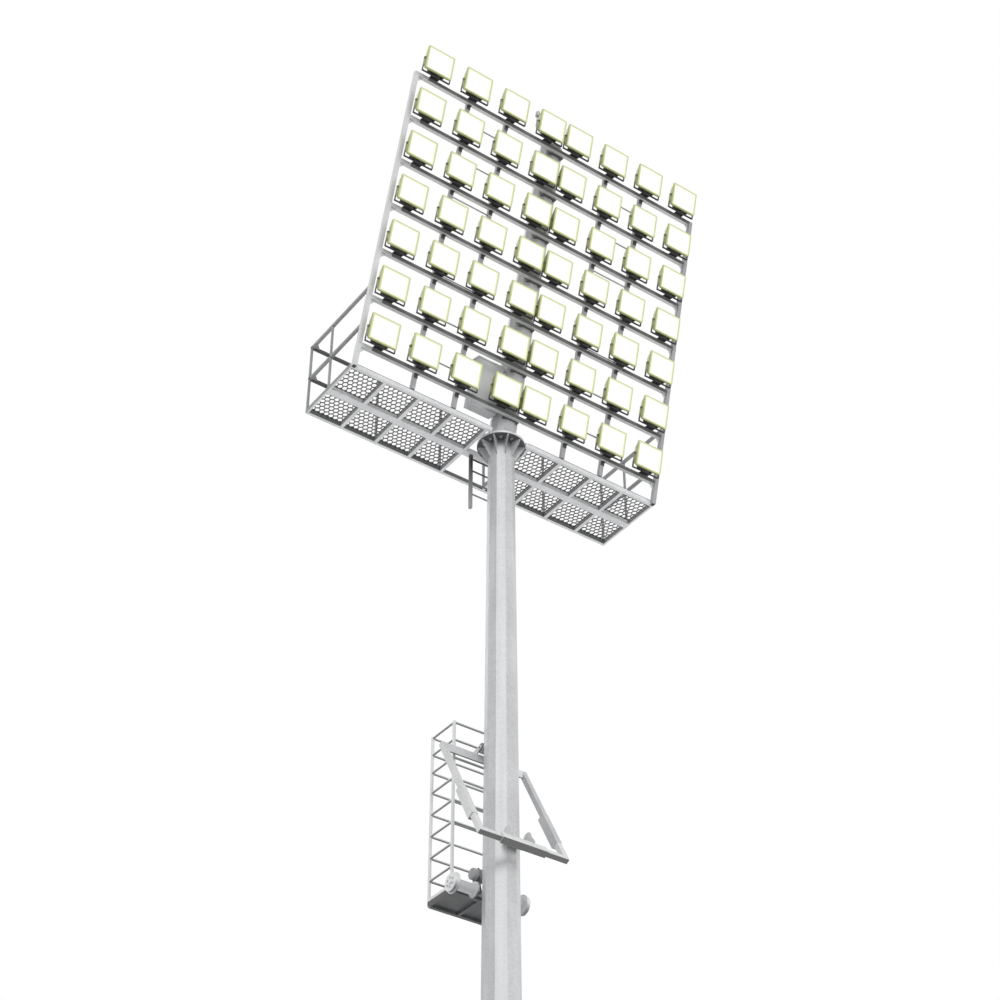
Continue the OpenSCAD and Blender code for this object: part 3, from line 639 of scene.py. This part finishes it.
# %% Lamp stirrups
STRAP_IN, STRAP_OUT, STRAP_HALF, STRAP_T = 0.238, 0.246, 0.016, 0.008
EYE_IN, EYE_OUT, BLOCK_W, BLOCK_FRONT = 0.009, 0.018, 0.150, -0.025
STRAP_TOP = -0.2305
STRAP_LOW = STRAP_TOP - STRAP_T
stirrup = Shape()
for side in (-1, 1):
    left, right = sorted((side * STRAP_IN, side * STRAP_OUT))
    edges = (EYE_IN, left), (EYE_OUT, left), (EYE_OUT, right), (EYE_IN, right), (EYE_IN, left)
    rings = [[(x, r * cos(pi * k / 10), r * sin(pi * k / 10)) for k in range(20)] for r, x in edges]
    stirrup.loft(rings, caps=(False, False))
    stirrup.box((left, -STRAP_HALF, STRAP_LOW), (right, STRAP_HALF, -0.0145))
stirrup.box((-STRAP_IN, -STRAP_HALF, STRAP_LOW), (STRAP_IN, STRAP_HALF, STRAP_TOP))
stirrup.box((-BLOCK_W / 2, BLOCK_FRONT, STRAP_LOW - STRAP_T), (BLOCK_W / 2, TRUNNION + TUBE / 2, STRAP_LOW))
for row in ROWS:
    make_piece(f"lamp_stirrups_{row}", row_of(stirrup, row), yoke_enamel, "pylon",
               [f"lamp_yokes_{row}"])

# %% [markdown]
# ## Cable ducts and clamps on the rails
# A dark duct runs along the front of each rail from the first lamp to the right-hand post and feeds the
# lamps. Below the rail, where an upright passes behind it, a bolted cleat holds the two together.

# %% Ducts and cleats
DUCT = [(-0.032, -0.026), (-0.037, -0.026), (-0.040, -0.022), (-0.040, 0.022), (-0.037, 0.026),
        (-0.032, 0.026)]
DUCT_ENDS = -2.436, 2.604
CLEAT_HALF, CLEAT_TOP, CLEAT_BACK, CLEAT_FACE, CLEAT_UNDER = 0.033, -0.0321, 0.0318, 0.0258, -0.038
ducts, cleats = Shape(), Shape()
cleat_bolt = hexagon_bolt(0.018, 0.009)
for row in ROWS:
    rail = leaning @ at(0, 0, lamp_height(row) - RAIL_DROP)
    ducts.draw(DUCT, DUCT_ENDS, rail)
    for x in UPRIGHTS:
        corner = x + CLEAT_HALF, CLEAT_BACK, CLEAT_TOP
        cleats.box((x - CLEAT_HALF, -0.006, CLEAT_UNDER), corner, rail)
        cleats.box((x - CLEAT_HALF, CLEAT_FACE, -0.090), corner, rail)
        for dx in (-0.017, 0.017):
            cleats.copy_in(cleat_bolt, rail @ at(x + dx, CLEAT_FACE, -0.066) @ turned(90, "X"))
            cleats.copy_in(cleat_bolt, rail @ at(x + dx, 0.006, CLEAT_UNDER) @ turned(180, "X"))
make_piece("cable_ducts", ducts, duct_paint, "pylon")
make_piece("rail_cleats", cleats, dark_paint, "pylon")

# %% [markdown]
# ## The platform
# The platform is a welded frame of flat bars, in two halves that a bridge joins round the mast. It could
# be cut from one plate, but a welder works with bars, and so does this cell: one function lays a bar on
# the left or the right, and both halves come from the same list of bars. Their outer front corners stay
# clear of the lamp frame's posts.

# %% Platform frame
DECK_IN, DECK_OUT, DECK_FRONT, DECK_BACK = 0.350, 2.670, -0.202, 1.027
MID_BEAM, EDGE, ARM, CROSS, END = (0.373, 0.489), 0.048, 0.050, 0.056, 0.032
DECK_TOP = PLATFORM + 0.070
BAY_W = (DECK_OUT - END - DECK_IN - ARM - 3 * CROSS) / 4
BAYS_X = [DECK_IN + ARM + i * (BAY_W + CROSS) for i in range(4)]
BAYS_Y = [(DECK_FRONT + EDGE, MID_BEAM[0]), (MID_BEAM[1], DECK_BACK - EDGE)]
MID_Y = sum(MID_BEAM) / 2
NOTCH_X, NOTCH_Y = 2.6045, -0.1775


def flat_bar(shape, side, x, y, low=PLATFORM, high=DECK_TOP):
    """A bar on the left (-1) or the right (1), from x[0] to x[1] and from y[0] to y[1]."""
    left, right = sorted((side * x[0], side * x[1]))
    shape.box((left, y[0], low), (right, y[1], high))


def cross_bars(shape, side, inner, *heights):
    """The bars between the bays of one half."""
    for y in BAYS_Y:
        flat_bar(shape, side, (inner, DECK_IN + ARM), y, *heights)
        for x in BAYS_X[1:]:
            flat_bar(shape, side, (x - CROSS, x), y, *heights)


def deck_half(side):
    half, edge = Shape(), DECK_OUT - END
    bars = [((DECK_IN, NOTCH_X), (DECK_FRONT, DECK_FRONT + EDGE)),
            ((NOTCH_X, edge), (NOTCH_Y, DECK_FRONT + EDGE)), ((edge, DECK_OUT), (NOTCH_Y, MID_BEAM[0])),
            ((edge, DECK_OUT), BAYS_Y[1]), ((DECK_IN, DECK_OUT), MID_BEAM),
            ((DECK_IN, DECK_OUT), (DECK_BACK - EDGE, DECK_BACK))]
    for x, y in bars:
        flat_bar(half, side, x, y)
    cross_bars(half, side, DECK_IN)
    return half


for side, name in SIDES:
    half = deck_half(side)
    make_piece(f"platform_{name}", half, deck_zinc, stands_for=[f"deck_frame_{name}"], bevel=0.002)
bridge = Shape()
bridge.box((-DECK_IN, DECK_BACK - EDGE, PLATFORM), (DECK_IN, DECK_BACK, DECK_TOP))
bridge.box((-DECK_IN, MID_BEAM[0], PLATFORM), (DECK_IN, MID_BEAM[1], DECK_TOP))
for side in (-1, 1):
    flat_bar(bridge, side, (DECK_IN - 0.055, DECK_IN), (DECK_FRONT, DECK_FRONT + EDGE))
make_piece("platform_bridge", bridge, deck_zinc, stands_for=["bridge_beams"], bevel=0.002)

# %% [markdown]
# Each bay holds a raised honeycomb mesh, which tells the platform from a plain floor when it is seen from
# below. A pattern on a flat sheet would have no depth, and cutting hundreds of holes out of a plate is
# slow. So the mesh is made cell by cell: each cell is a ring from its own outline to its hole, and
# neighbours meet along their outlines.

# %% Honeycomb mesh
MESH_BAR, MESH_POINT, CELLS = 0.010, 0.025, 7
MESH_INSET, MESH_OUT, MESH_BACK = 0.006, 2.6275, 0.984
MESH_Z = (DECK_TOP, DECK_TOP + 0.014)


def cell_ring(shape, outline, hole, place):
    low, high = MESH_Z
    loops = (outline, low), (hole, low), (hole, high), (outline, high)
    shape.loft([[(x, y, z) for x, y in loop] for loop, z in loops], place, caps=(False, False))


def pointed(half, tip, rise):
    """A hexagon that points to the front and the back."""
    side = tip - rise * half
    return [(-half, -side), (0, -tip), (half, -side), (half, side), (0, tip), (-half, side)]


def half_cell(inset, half, tip, rise):
    return [(x, way * (tip - rise * x)) for x, way in ((inset, -1), (half, -1), (half, 1), (inset, 1))]


def mesh_bay(shape, left, y):
    step = (BAY_W + MESH_BAR) / CELLS
    rise = 2 * MESH_POINT / step
    wall = MESH_BAR * hypot(1, rise)
    row = (y[1] - y[0] - MESH_POINT + wall) / CELLS
    tip = (row + MESH_POINT) / 2
    inner, inner_tip = (step - MESH_BAR) / 2, tip - wall / 2
    cell = pointed(step / 2, tip, rise), pointed(inner, inner_tip, rise)
    halves = half_cell(0, step / 2, tip, rise), half_cell(MESH_BAR / 2, inner, inner_tip, rise)
    start, first = left - MESH_BAR / 2, y[0] + inner_tip
    end = start + CELLS * step
    for b in range(CELLS):
        middle = first + b * row
        for a in range(CELLS - b % 2):
            cell_ring(shape, *cell, at(start + (a + 0.5 + b % 2 / 2) * step, middle, 0))
        if b % 2:
            cell_ring(shape, *halves, at(start, middle, 0))
            cell_ring(shape, *halves, at(end, middle, 0) @ turned(180, "Z"))
    for edge, way in ((first, -1), (first + (CELLS - 1) * row, 1)):
        outer, point = edge + way * tip, edge + way * (tip - MESH_POINT)
        for a in range(CELLS + 1):
            middle = start + a * step
            before, after = max(middle - step / 2, start), min(middle + step / 2, end)
            shape.loft([[(before, outer, z), (middle, point, z), (after, outer, z)] for z in MESH_Z])


for side, name in SIDES:
    mesh = Shape()
    for x in BAYS_X:
        for y in BAYS_Y:
            mesh_bay(mesh, x if side > 0 else -x - BAY_W, y)
    for y in ((DECK_FRONT + MESH_INSET, BAYS_Y[0][0]), MID_BEAM, (BAYS_Y[1][1], MESH_BACK)):
        flat_bar(mesh, side, (DECK_IN + MESH_INSET, MESH_OUT), y, *MESH_Z)
    cross_bars(mesh, side, DECK_IN + MESH_INSET, *MESH_Z)
    make_piece(f"platform_mesh_{name}", mesh, grating_zinc, "pylon", [f"grating_{name}"])

# %% [markdown]
# ## The guard rails
# Thin square posts carry two square rails round the back and sides, with a flat gusset in each rear corner.
# The rear rails hang behind the lamps and are painted near-black as painted shade, and the posts and side
# rails carry a lighter painted shade of grey. The side rails end on the leaning posts of the lamp frame, so
# their front ends are cut to that slope.

# %% Guard rails
RAIL, POST, GUSSET = 0.045, 0.030, 0.095
RAIL_TOPS = PLATFORM + 0.670, PLATFORM + 1.275
REAR_Y = DECK_BACK - RAIL / 2


def behind_post(z):
    """The rear face of the leaning post at a height."""
    return FRAME_Y - (z - PLATFORM) * LEAN_SIN / LEAN_COS + TUBE / 2 / LEAN_COS + 0.0005


def upright(shape, x, y):
    shape.box((x - POST / 2, y - POST / 2, DECK_TOP), (x + POST / 2, y + POST / 2, RAIL_TOPS[1] - RAIL))


def side_rail(shape, x, low, top, back):
    """A rail whose front end is cut to the slope of the leaning post."""
    left, right = x - RAIL / 2, x + RAIL / 2
    cut = behind_post(low), behind_post(top)
    shape.loft([[(left, lower, low), (right, lower, low), (right, upper, top), (left, upper, top)]
                for lower, upper in (cut, (back, back))])


rear_rails, rear_posts = Shape(), Shape()
for top in RAIL_TOPS:
    rear_rails.box((-DECK_OUT, DECK_BACK - RAIL, top - RAIL), (DECK_OUT, DECK_BACK, top))
for x in (0.395, 1.510, DECK_OUT - POST / 2):
    upright(rear_posts, -x, REAR_Y)
    upright(rear_posts, x, REAR_Y)
make_piece("rear_guard_rails", rear_rails, shaded_rail_zinc, stands_for=["guard_rail_rear"], bevel=0.003)
make_piece("rear_guard_posts", rear_posts, shaded_guard_zinc)
for side, name in SIDES:
    guard, x, back = Shape(), side * (DECK_OUT - RAIL / 2), DECK_BACK - RAIL
    inside = x - side * RAIL / 2
    corner = [(inside, back), (inside - side * GUSSET, back), (inside, back - GUSSET)]
    upright(guard, side * (DECK_OUT - POST / 2), MID_Y)
    for top in RAIL_TOPS:
        low = top - RAIL
        side_rail(guard, x, low, top, back)
        guard.loft([[(a, b, low + t) for a, b in corner] for t in (0.010, 0.018)])
    make_piece(f"side_guard_{name}", guard, shaded_guard_zinc, stands_for=[f"guard_rail_{name}"], bevel=0.003)

# %% [markdown]
# A short ladder hangs under the bridge for the climb from the lift, and the lamp frame's outer posts run
# down past the platform's front beam, so each gets a foot down to the platform's underside.

# %% Ladder and post feet
def square_tube(shape, width, x, y, low, high):
    """An upright square tube with rounded edges."""
    rings = [rounded_outline(width, width, 0.004, z) for z in (low, high)]
    shape.loft(rings, at(x, y, 0) @ turned(90, "X"))


LADDER_HALF, LADDER_LOW, FIRST_RUNG, RUNG_PITCH = 0.230, 19.030, 0.060, 0.215
ladder = Shape()
for x in (-LADDER_HALF, LADDER_HALF):
    square_tube(ladder, 0.046, x, MID_Y, LADDER_LOW, PLATFORM)
for i in range(4):
    rung = at(0, MID_Y, PLATFORM - FIRST_RUNG - RUNG_PITCH * i) @ turned(90, "Y")
    ladder.turn([(0.013, -0.207), (0.013, 0.207)], rung, sides=16)
make_piece("hanging_ladder", ladder, ladder_coat, "pylon", ["platform_ladder"])

# the right-hand foot takes the darker zinc as painted shade
for side, name, material in ((-1, "left", frame_zinc), (1, "right", shaded_upright_zinc)):
    half_x, half_y = TUBE / 2, TUBE / 2 / LEAN_COS
    rings = []
    for rise in (0.0, 0.0705):
        y = FRAME_Y - rise * LEAN_SIN / LEAN_COS
        rings.append([(side * POST_X + dx * half_x, y + dy * half_y, PLATFORM + rise)
                      for dx, dy in ((-1, -1), (1, -1), (1, 1), (-1, 1))])
    make_piece(f"post_foot_{name}", Shape().loft(rings), material)

# %% [markdown]
# ## Bolts of the mast
# Ten anchor bolts hold the base plate down, each with a washer, a nut and a domed end of thread. Ten more
# join the mast's top flange to the head. They are counted from the solids' holes: half a side round from
# the mast's corners.

# %% Anchor bolts and flange bolts
ANCHOR_R, BASE_TOP = 0.430, 0.040
FLANGE_R, HEAD_TOP, FLANGE_LOW = 0.256, 20.030, 19.965


def bolt_circle(one, radius, height, flip=False):
    ring = Shape()
    for i in range(10):
        angle = radians(18 + 36 * i)
        place = at(radius * cos(angle), radius * sin(angle), height) @ turned(18 + 36 * i, "Z")
        ring.copy_in(one, place @ turned(180, "X") if flip else place)
    return ring


anchor = Shape().turn([(0.036, 0), (0.038, 0.001), (0.038, 0.005), (0.036, 0.006)], sides=32)
anchor.copy_in(hexagon_bolt(0.055, 0.030), at(0, 0, 0.006))
anchor.turn([(0.018, 0.030), (0.018, 0.062), (0.014, 0.068), (0.004, 0.070)], sides=24)
make_piece("anchor_bolts", bolt_circle(anchor, ANCHOR_R, BASE_TOP), bolt_zinc)

flange_bolt = Shape().turn([(0.024, 0), (0.024, 0.004)], sides=24)
flange_bolt.copy_in(hexagon_bolt(0.036, 0.018), at(0, 0, 0.004))
flange_nuts = bolt_circle(flange_bolt, FLANGE_R, HEAD_TOP)
flange_nuts.copy_in(bolt_circle(flange_bolt, FLANGE_R, FLANGE_LOW, flip=True), Matrix())
make_piece("flange_bolts", flange_nuts, bolt_zinc)

# %% [markdown]
# ## Small things on the mast and the frame
# The access door near the ground hangs on two barrel hinges and is locked with a key barrel. The posts of the
# lamp frame are open tubes, so their lower ends are dark with the shade inside them. Hollowing the posts
# would change the solids, so a black plug set just under each end paints that shade.

# %% Door fittings and shade plugs in the posts
def door_face(height):
    """Distance of the access door's face from the mast's axis."""
    return 0.2887 - (height - 1.0) * 0.00584


door_parts = Shape()
to_door = turned(198, "Z")
for height in (0.82, 1.18):
    door_parts.turn([(0.006, -0.036), (0.008, -0.034), (0.008, 0.034), (0.006, 0.036)],
                    to_door @ at(door_face(height) + 0.006, 0.060, height), sides=16)
door_parts.turn([(0.014, 0.0), (0.014, 0.004), (0.011, 0.006), (0.006, 0.006), (0.005, 0.003)],
                to_door @ at(door_face(1.0), -0.048, 1.0) @ turned(90, "Y"), sides=24)
make_piece("door_fittings", door_parts, bolt_zinc, "pylon")

# black plugs just inside the open post ends: painted shade
shade_plugs = Shape()
for side in (-1, 1):
    square_tube(shade_plugs, 0.054, side * POST_X, FRAME_Y, PLATFORM - 0.0025, PLATFORM - 0.0005)
make_piece("post_shade_plugs", shade_plugs, enamel_black, "pylon")

# %% [markdown]
# The gear cabinet has a raised door with louvres, which let the heat of the gear out, three hinges and a
# handle. A louvre could be a painted stripe, but its lip throws a shadow, so each one is a small wedge
# drawn along the door.

# %% Cabinet fittings
CABINET_X, CABINET_MID, CABINET_FACE = (-0.652, -0.212), 0.73, 0.3382
DOOR = [(0.380, 0.720, 0.3295), (0.380, 0.720, 0.3352), (0.374, 0.714, CABINET_FACE)]
LOUVRE = [(0.0, 0.0), (0.010, 0.0), (0.011, 0.002), (0.0, 0.016)]
cabinet_parts = Shape()
cabinet_parts.loft([shifted(rounded_outline(w, h, 0.008, y), CABINET_MID) for w, h, y in DOOR],
                   leaning @ at(sum(CABINET_X) / 2, 0, 0))
for low in (0.46, 0.86):
    for i in range(7):
        lip = [(CABINET_FACE + out, low + 0.022 * i + up) for out, up in LOUVRE]
        cabinet_parts.draw(lip, (-0.56, -0.30), leaning)
for z in (0.45, 0.73, 1.01):
    cabinet_parts.turn([(0.005, -0.030), (0.007, -0.028), (0.007, 0.028), (0.005, 0.030)],
                       leaning @ at(CABINET_X[0] + 0.036, CABINET_FACE + 0.003, z), sides=16)
cabinet_parts.loft([shifted(rounded_outline(w, 0.110, 0.008, CABINET_FACE + y), CABINET_MID) for w, y in
                    ((0.026, 0.0), (0.026, 0.010), (0.020, 0.014))], leaning @ at(CABINET_X[1] - 0.052, 0, 0))
make_piece("cabinet_fittings", cabinet_parts, cabinet_coat, "pylon")

# %% [markdown]
# ## The lift's machinery
# The guide rollers are turned polyurethane tyres with worn grooves. A plain drum would lose the grooves
# and the shoulders, so each roller is a profile of radius and height swept about its axis. Half a profile
# is enough, and a small function reflects it.

# %% Guide rollers
def mirrored(profile):
    """A profile and its reflection, from end to end."""
    return [(r, -z) for r, z in reversed(profile)] + list(profile)


across = turned(90, "Y")
grooves = [(0.070, 0.010), (0.068, 0.012), (0.068, 0.018), (0.070, 0.020), (0.070, 0.066), (0.068, 0.068),
           (0.068, 0.074), (0.070, 0.076), (0.070, 0.119), (0.066, 0.125), (0.030, 0.125), (0.030, 0.1295),
           (0.015, 0.1295), (0.015, 0.147), (0.013, 0.149)]
for body, y, z in (("rear_roller", 0.280265, 15.035), ("front_roller", -0.289521, 13.450)):
    tyre = Shape().turn(mirrored(grooves), at(0, y, z) @ across, sides=64)
    make_piece(f"{body}_tyre", tyre, roller_rubber, body, [body])

# %% [markdown]
# The hoist motor's shell has cooling rings round it, which a loop adds to the profile before it is swept.

# %% Hoist motor
MOTOR = at(0, 0.336, 13.229) @ across
rings = [(0.077, 0.004)]
for i in range(7):
    z = 0.008 + 0.016 * i
    rings += [(0.077, z), (0.084, z + 0.002), (0.084, z + 0.007), (0.077, z + 0.009)]
ends = [(0.0504, 0.1235), (0.0504, 0.1365), (0.0700, 0.1365), (0.0756, 0.142), (0.0756, 0.206),
        (0.066, 0.216)]
motor = Shape().turn(mirrored(rings + ends), MOTOR, sides=64)
make_piece("motor_shell", motor, motor_coat, "lift", ["hoist_motor"])

# %% [markdown]
# A wire rope lies in close turns on each drum. A bump could fake the rope, but its outline shows against
# the sky, so the turns are rounded humps in a profile of their own.

# %% Reels and rope
REEL = at(0, 0.285, 12.985) @ across
ROPE, DRUM = 0.0062, 0.0585
windings, reel_bolts = Shape(), Shape()
reel = [(0.0244, 0.196), (0.104, 0.196), (0.104, 0.218), (0.058, 0.218), (0.058, 0.502), (0.136, 0.502),
        (0.139, 0.505), (0.139, 0.519), (0.136, 0.522), (0.122, 0.522), (0.122, 0.560), (0.120, 0.562),
        (0.0244, 0.562), (0.0244, 0.572)]
reels = Shape().turn(mirrored(reel), REEL, sides=72)
make_piece("turned_reels", reels, cage_zinc, "reels", ["rope_reels"])
for side in (-1, 1):
    profile = [(DRUM, side * 0.2181)]
    for turn_count in range(23):
        middle = 0.218 + ROPE + turn_count * 2 * ROPE
        for k in range(5):
            angle = radians(180 - 45 * k)
            profile.append((DRUM + ROPE + ROPE * sin(angle), side * (middle + 0.98 * ROPE * cos(angle))))
    profile.append((DRUM, side * 0.5019))
    windings.turn(profile, REEL, sides=40, caps=(False, False))
    for i in range(6):
        outward = REEL @ turned(60 * i, "Z") @ at(0.062, 0, side * 0.562)
        reel_bolts.copy_in(hexagon_bolt(0.024, 0.009), outward if side > 0 else outward @ turned(180, "X"))
rope_steel = finish("rope_steel", zinc((224, 224, 225), (188, 189, 191), crystal=300, rough=0.5))
make_piece("rope_windings", windings, rope_steel, "reels")
make_piece("reel_bolts", reel_bolts, bolt_zinc, "reels")

# %% [markdown]
# ## The lift's cage
# The cage is a light frame: four square posts, and round bars for hoops, which are wider apart low down than
# at the top. Toe boards keep tools from sliding off the floor. Round bars catch the light along their tops
# and carry painted shade below, so they are turned instead of square.

# %% Cage
FLOOR, CAGE_H, CAGE_X, CAGE_Y = 12.954, 2.454, 0.4372, (0.4372, 0.933)
TOE_LOW, TOE_TOP, TOE_HALF = FLOOR + 0.048, FLOOR + 0.115, 0.003
HOOP_R = 0.0165
HOOPS = [0.350, 0.669, 0.979, 1.290, 1.608, 1.907, 2.177, 2.437]
cage = Shape()
for x in (-CAGE_X, CAGE_X):
    for y in CAGE_Y:
        square_tube(cage, 0.034, x, y, FLOOR, FLOOR + CAGE_H)
    for hoop in HOOPS:
        cage.turn([(HOOP_R, y) for y in CAGE_Y], at(x, 0, FLOOR + hoop) @ turned(-90, "X"), sides=16)
    cage.box((x - TOE_HALF, CAGE_Y[0], TOE_LOW), (x + TOE_HALF, CAGE_Y[1], TOE_TOP))
for y, hoops in ((CAGE_Y[0], HOOPS[2:]), (CAGE_Y[1], HOOPS)):
    for hoop in hoops:
        cage.turn([(HOOP_R, -CAGE_X), (HOOP_R, CAGE_X)], at(0, y, FLOOR + hoop) @ across, sides=16)
    cage.box((-CAGE_X, y - TOE_HALF, TOE_LOW), (CAGE_X, y + TOE_HALF, TOE_TOP))
make_piece("cage_frame", cage, cage_zinc, "lift",
           ["cage_left_side", "cage_right_side", "cage_rungs"])

# %% [markdown]
# ## The obstruction light
# A small grey light stands clear of the lamps on a bent conduit, with a wire loop over its dome. The
# conduit is a circle carried along a bent line.

# %% Obstruction light
def pipe(shape, path, radius, place, sides=12):
    """A tube along a bent line that lies in the plane of x and z."""
    rings, around = [], [2 * pi * k / sides for k in range(sides)]
    for i, (x, z) in enumerate(path):
        before, after = path[max(i - 1, 0)], path[min(i + 1, len(path) - 1)]
        ahead = Vector((after[0] - before[0], 0, after[1] - before[1])).normalized()
        aside = Vector((ahead.z, 0, -ahead.x))
        rings.append([Vector((x, 0, z)) + radius * (cos(a) * aside + Vector((0, sin(a), 0))) for a in around])
    shape.loft(rings, place)


def arc(centre, radius, angles):
    """Points round a circle, at angles in degrees."""
    return [(centre[0] + radius * cos(radians(a)), centre[1] + radius * sin(radians(a))) for a in angles]


spine_top = leaning @ at(0, 0.2352, 5.241)
beacon = Shape()
beacon.turn([(0.030, 0.0), (0.030, 0.045), (0.016, 0.055)], spine_top @ at(-0.089, 0, 0), sides=24)
bend = [(-0.089, 0.040), (-0.092, 0.080), *arc((-0.212, 0.080), 0.120, range(10, 91, 10)),
        *arc((-0.230, 0.308), 0.108, range(270, 179, -10)), (-0.338, 0.450)]
pipe(beacon, bend, 0.012, spine_top)
dome = spine_top @ at(-0.338, 0, 0.445)
beacon.turn([(0.026, 0.0), (0.042, 0.012), (0.042, 0.030), (0.036, 0.034), (0.037, 0.060), (0.030, 0.078),
             (0.014, 0.088)], dome, sides=32)
wire_loop = [(0.040 * cos(radians(a)), 0.050 + 0.062 * sin(radians(a))) for a in range(-30, 211, 12)]
pipe(beacon, wire_loop, 0.006, dome)
make_piece("obstruction_lamp", beacon, beacon_dome, "pylon", ["obstruction_light"])

# %% [markdown]
# ## The lift's sloping frame
# Two sloping arms reach past the mast to a beam on its front. Each arm is a tube that ends in a sleeve,
# nearly flush with it above and deeper below. The front tubes slide in the sleeves, so that the frame can
# lengthen where the mast is thicker. The beam lies square to the arms, with a sleeve at its middle and two
# round-topped plates beside the front roller. Arms and beam are placed along the arms' own slope.

# %% Sloping arms, front beam and roller plates
ARM_TOP, ARM_FOOT, ARM_X, ARM_HALF = (0.385, 14.935), (-0.461, 13.336), 0.636, 0.035
SLEEVE_OUT, SLEEVE_IN, SLEEVE_ABOVE, SLEEVE_BELOW = 0.041, 0.0364, 0.038, 0.078
BEAM_PARTS = (0.601, 0.035), (0.337, 0.049)
PLATE_X, PLATE_HALF = 0.153, 0.003
arm_reach = ARM_TOP[0] - ARM_FOOT[0], ARM_TOP[1] - ARM_FOOT[1]
arm_lean, arm_length = atan2(*arm_reach), hypot(*arm_reach)
arms = at(0, *ARM_TOP) @ Matrix.Rotation(-arm_lean, 4, "X")


def oblong(x, half, above, below):
    return [(x - half, above), (x + half, above), (x + half, below), (x - half, below)]


def sloped_sleeve(shape, x, low, high):
    """A hollow box round a tube: thin above, deep below."""
    outer = oblong(x, SLEEVE_OUT, -SLEEVE_ABOVE, SLEEVE_BELOW)
    inner = oblong(x, SLEEVE_IN, -SLEEVE_IN, SLEEVE_IN)
    loops = (inner, low), (outer, low), (outer, high), (inner, high), (inner, low)
    shape.loft([[(a, b, z) for a, b in loop] for loop, z in loops], arms, caps=(False, False))


# the right arm takes the darker zinc as painted shade
for side, name, material in ((-1, "left", lift_zinc), (1, "right", shaded_side_zinc)):
    arm, x = Shape(), side * ARM_X
    arm.box((x - ARM_HALF, -ARM_HALF, -0.930), (x + ARM_HALF, ARM_HALF, 0.045), arms)
    sloped_sleeve(arm, x, -1.502, -0.905)
    make_piece(f"sloping_arm_{name}", arm, material, "lift", [f"lift_arm_{name}"])

beam, end = Shape(), -arm_length
for reach, half in BEAM_PARTS:
    beam.box((-reach, -half, end - half), (reach, half, end + half), arms)
round_top = arc((-0.340, 13.522), 0.085, range(-30, 181, 15))
plate = [(-0.500, 13.345), (-0.430, 13.345), (-0.290, 13.410), (-0.256, 13.446)]
plate += [*round_top, (-0.500, 13.420)]
for x in (-PLATE_X, PLATE_X):
    beam.draw(plate, (x - PLATE_HALF, x + PLATE_HALF))
make_piece("sloping_front_beam", beam, lift_zinc, "front_frame", ["front_beam"])

face = Shape().box((-0.600, 0.3425, 14.860), (0.600, 0.3498, 14.9698))
make_piece("top_beam_face", face, lift_zinc, "lift", bevel=0.003)

# %% [markdown]
# ## Floor, light and background
# A plain pale floor carries the pylon's shadow. A square would show its corners behind so tall an object,
# so it is a wide disc.

# %% Floor
floor_mesh = bpy.data.meshes.new("floor")
grid = bmesh.new()
bmesh.ops.create_circle(grid, cap_ends=True, radius=60, segments=96)
grid.to_mesh(floor_mesh)
grid.free()
floor = into_scene("floor", floor_mesh)
floor.location.z = -0.001


def pale_floor(sheet):
    wear = sheet.noise(0.6, 5)
    return {"Base Color": sheet.mix(wear, (232, 232, 231), (244, 244, 243)), "Roughness": 0.8}


floor_mesh.materials.append(finish("pale_floor", pale_floor))
print("floor of radius 60 m")

# %% [markdown]
# The background is white to the camera and to reflections, through the world's Light Path. The light that
# falls on the steel is set apart from it, at a level where a colour renders about as it is written. Three
# broad suns give the faces of the mast their different greys. Area lamps would need to be huge to reach so
# far up.

# %% World and lamps
world = bpy.data.worlds.new("studio")
bpy.context.scene.world = world
world.use_nodes = True
sky = Sheet(world.node_tree)
rays = "Is Camera Ray", "Is Glossy Ray", "Is Transmission Ray"
seen, glossy, through = [sky.node("LightPath", out=ray) for ray in rays]
backdrop = sky.node("Background", None, {"Color": (1, 1, 1, 1), "Strength": 1.0})
soft_light = sky.node("Background", None, {"Color": (0.98, 0.99, 1, 1), "Strength": 0.62})
shown = sky.node("MixShader", None, {0: sky.clamp(seen + glossy + through), 1: soft_light, 2: backdrop})
sky.node("OutputWorld", None, {"Surface": shown})


def soft_sun(name, azimuth, height, strength, spread):
    """A broad lamp, set by its direction in degrees round from +X and its height above the horizon."""
    sun = bpy.data.lights.new(name, "SUN")
    sun.energy, sun.angle = strength, radians(spread)
    a, h = radians(azimuth), radians(height)
    towards = Vector((cos(a) * cos(h), sin(a) * cos(h), sin(h)))
    into_scene(name, sun).rotation_euler = towards.to_track_quat("Z", "Y").to_euler()
    print(name, "shines from", azimuth, "degrees round,", height, "up")


soft_sun("key_light", 248, 28, 0.85, 25)
soft_sun("fill_light", 330, 15, 0.45, 40)
soft_sun("back_light", 80, 50, 0.6, 40)
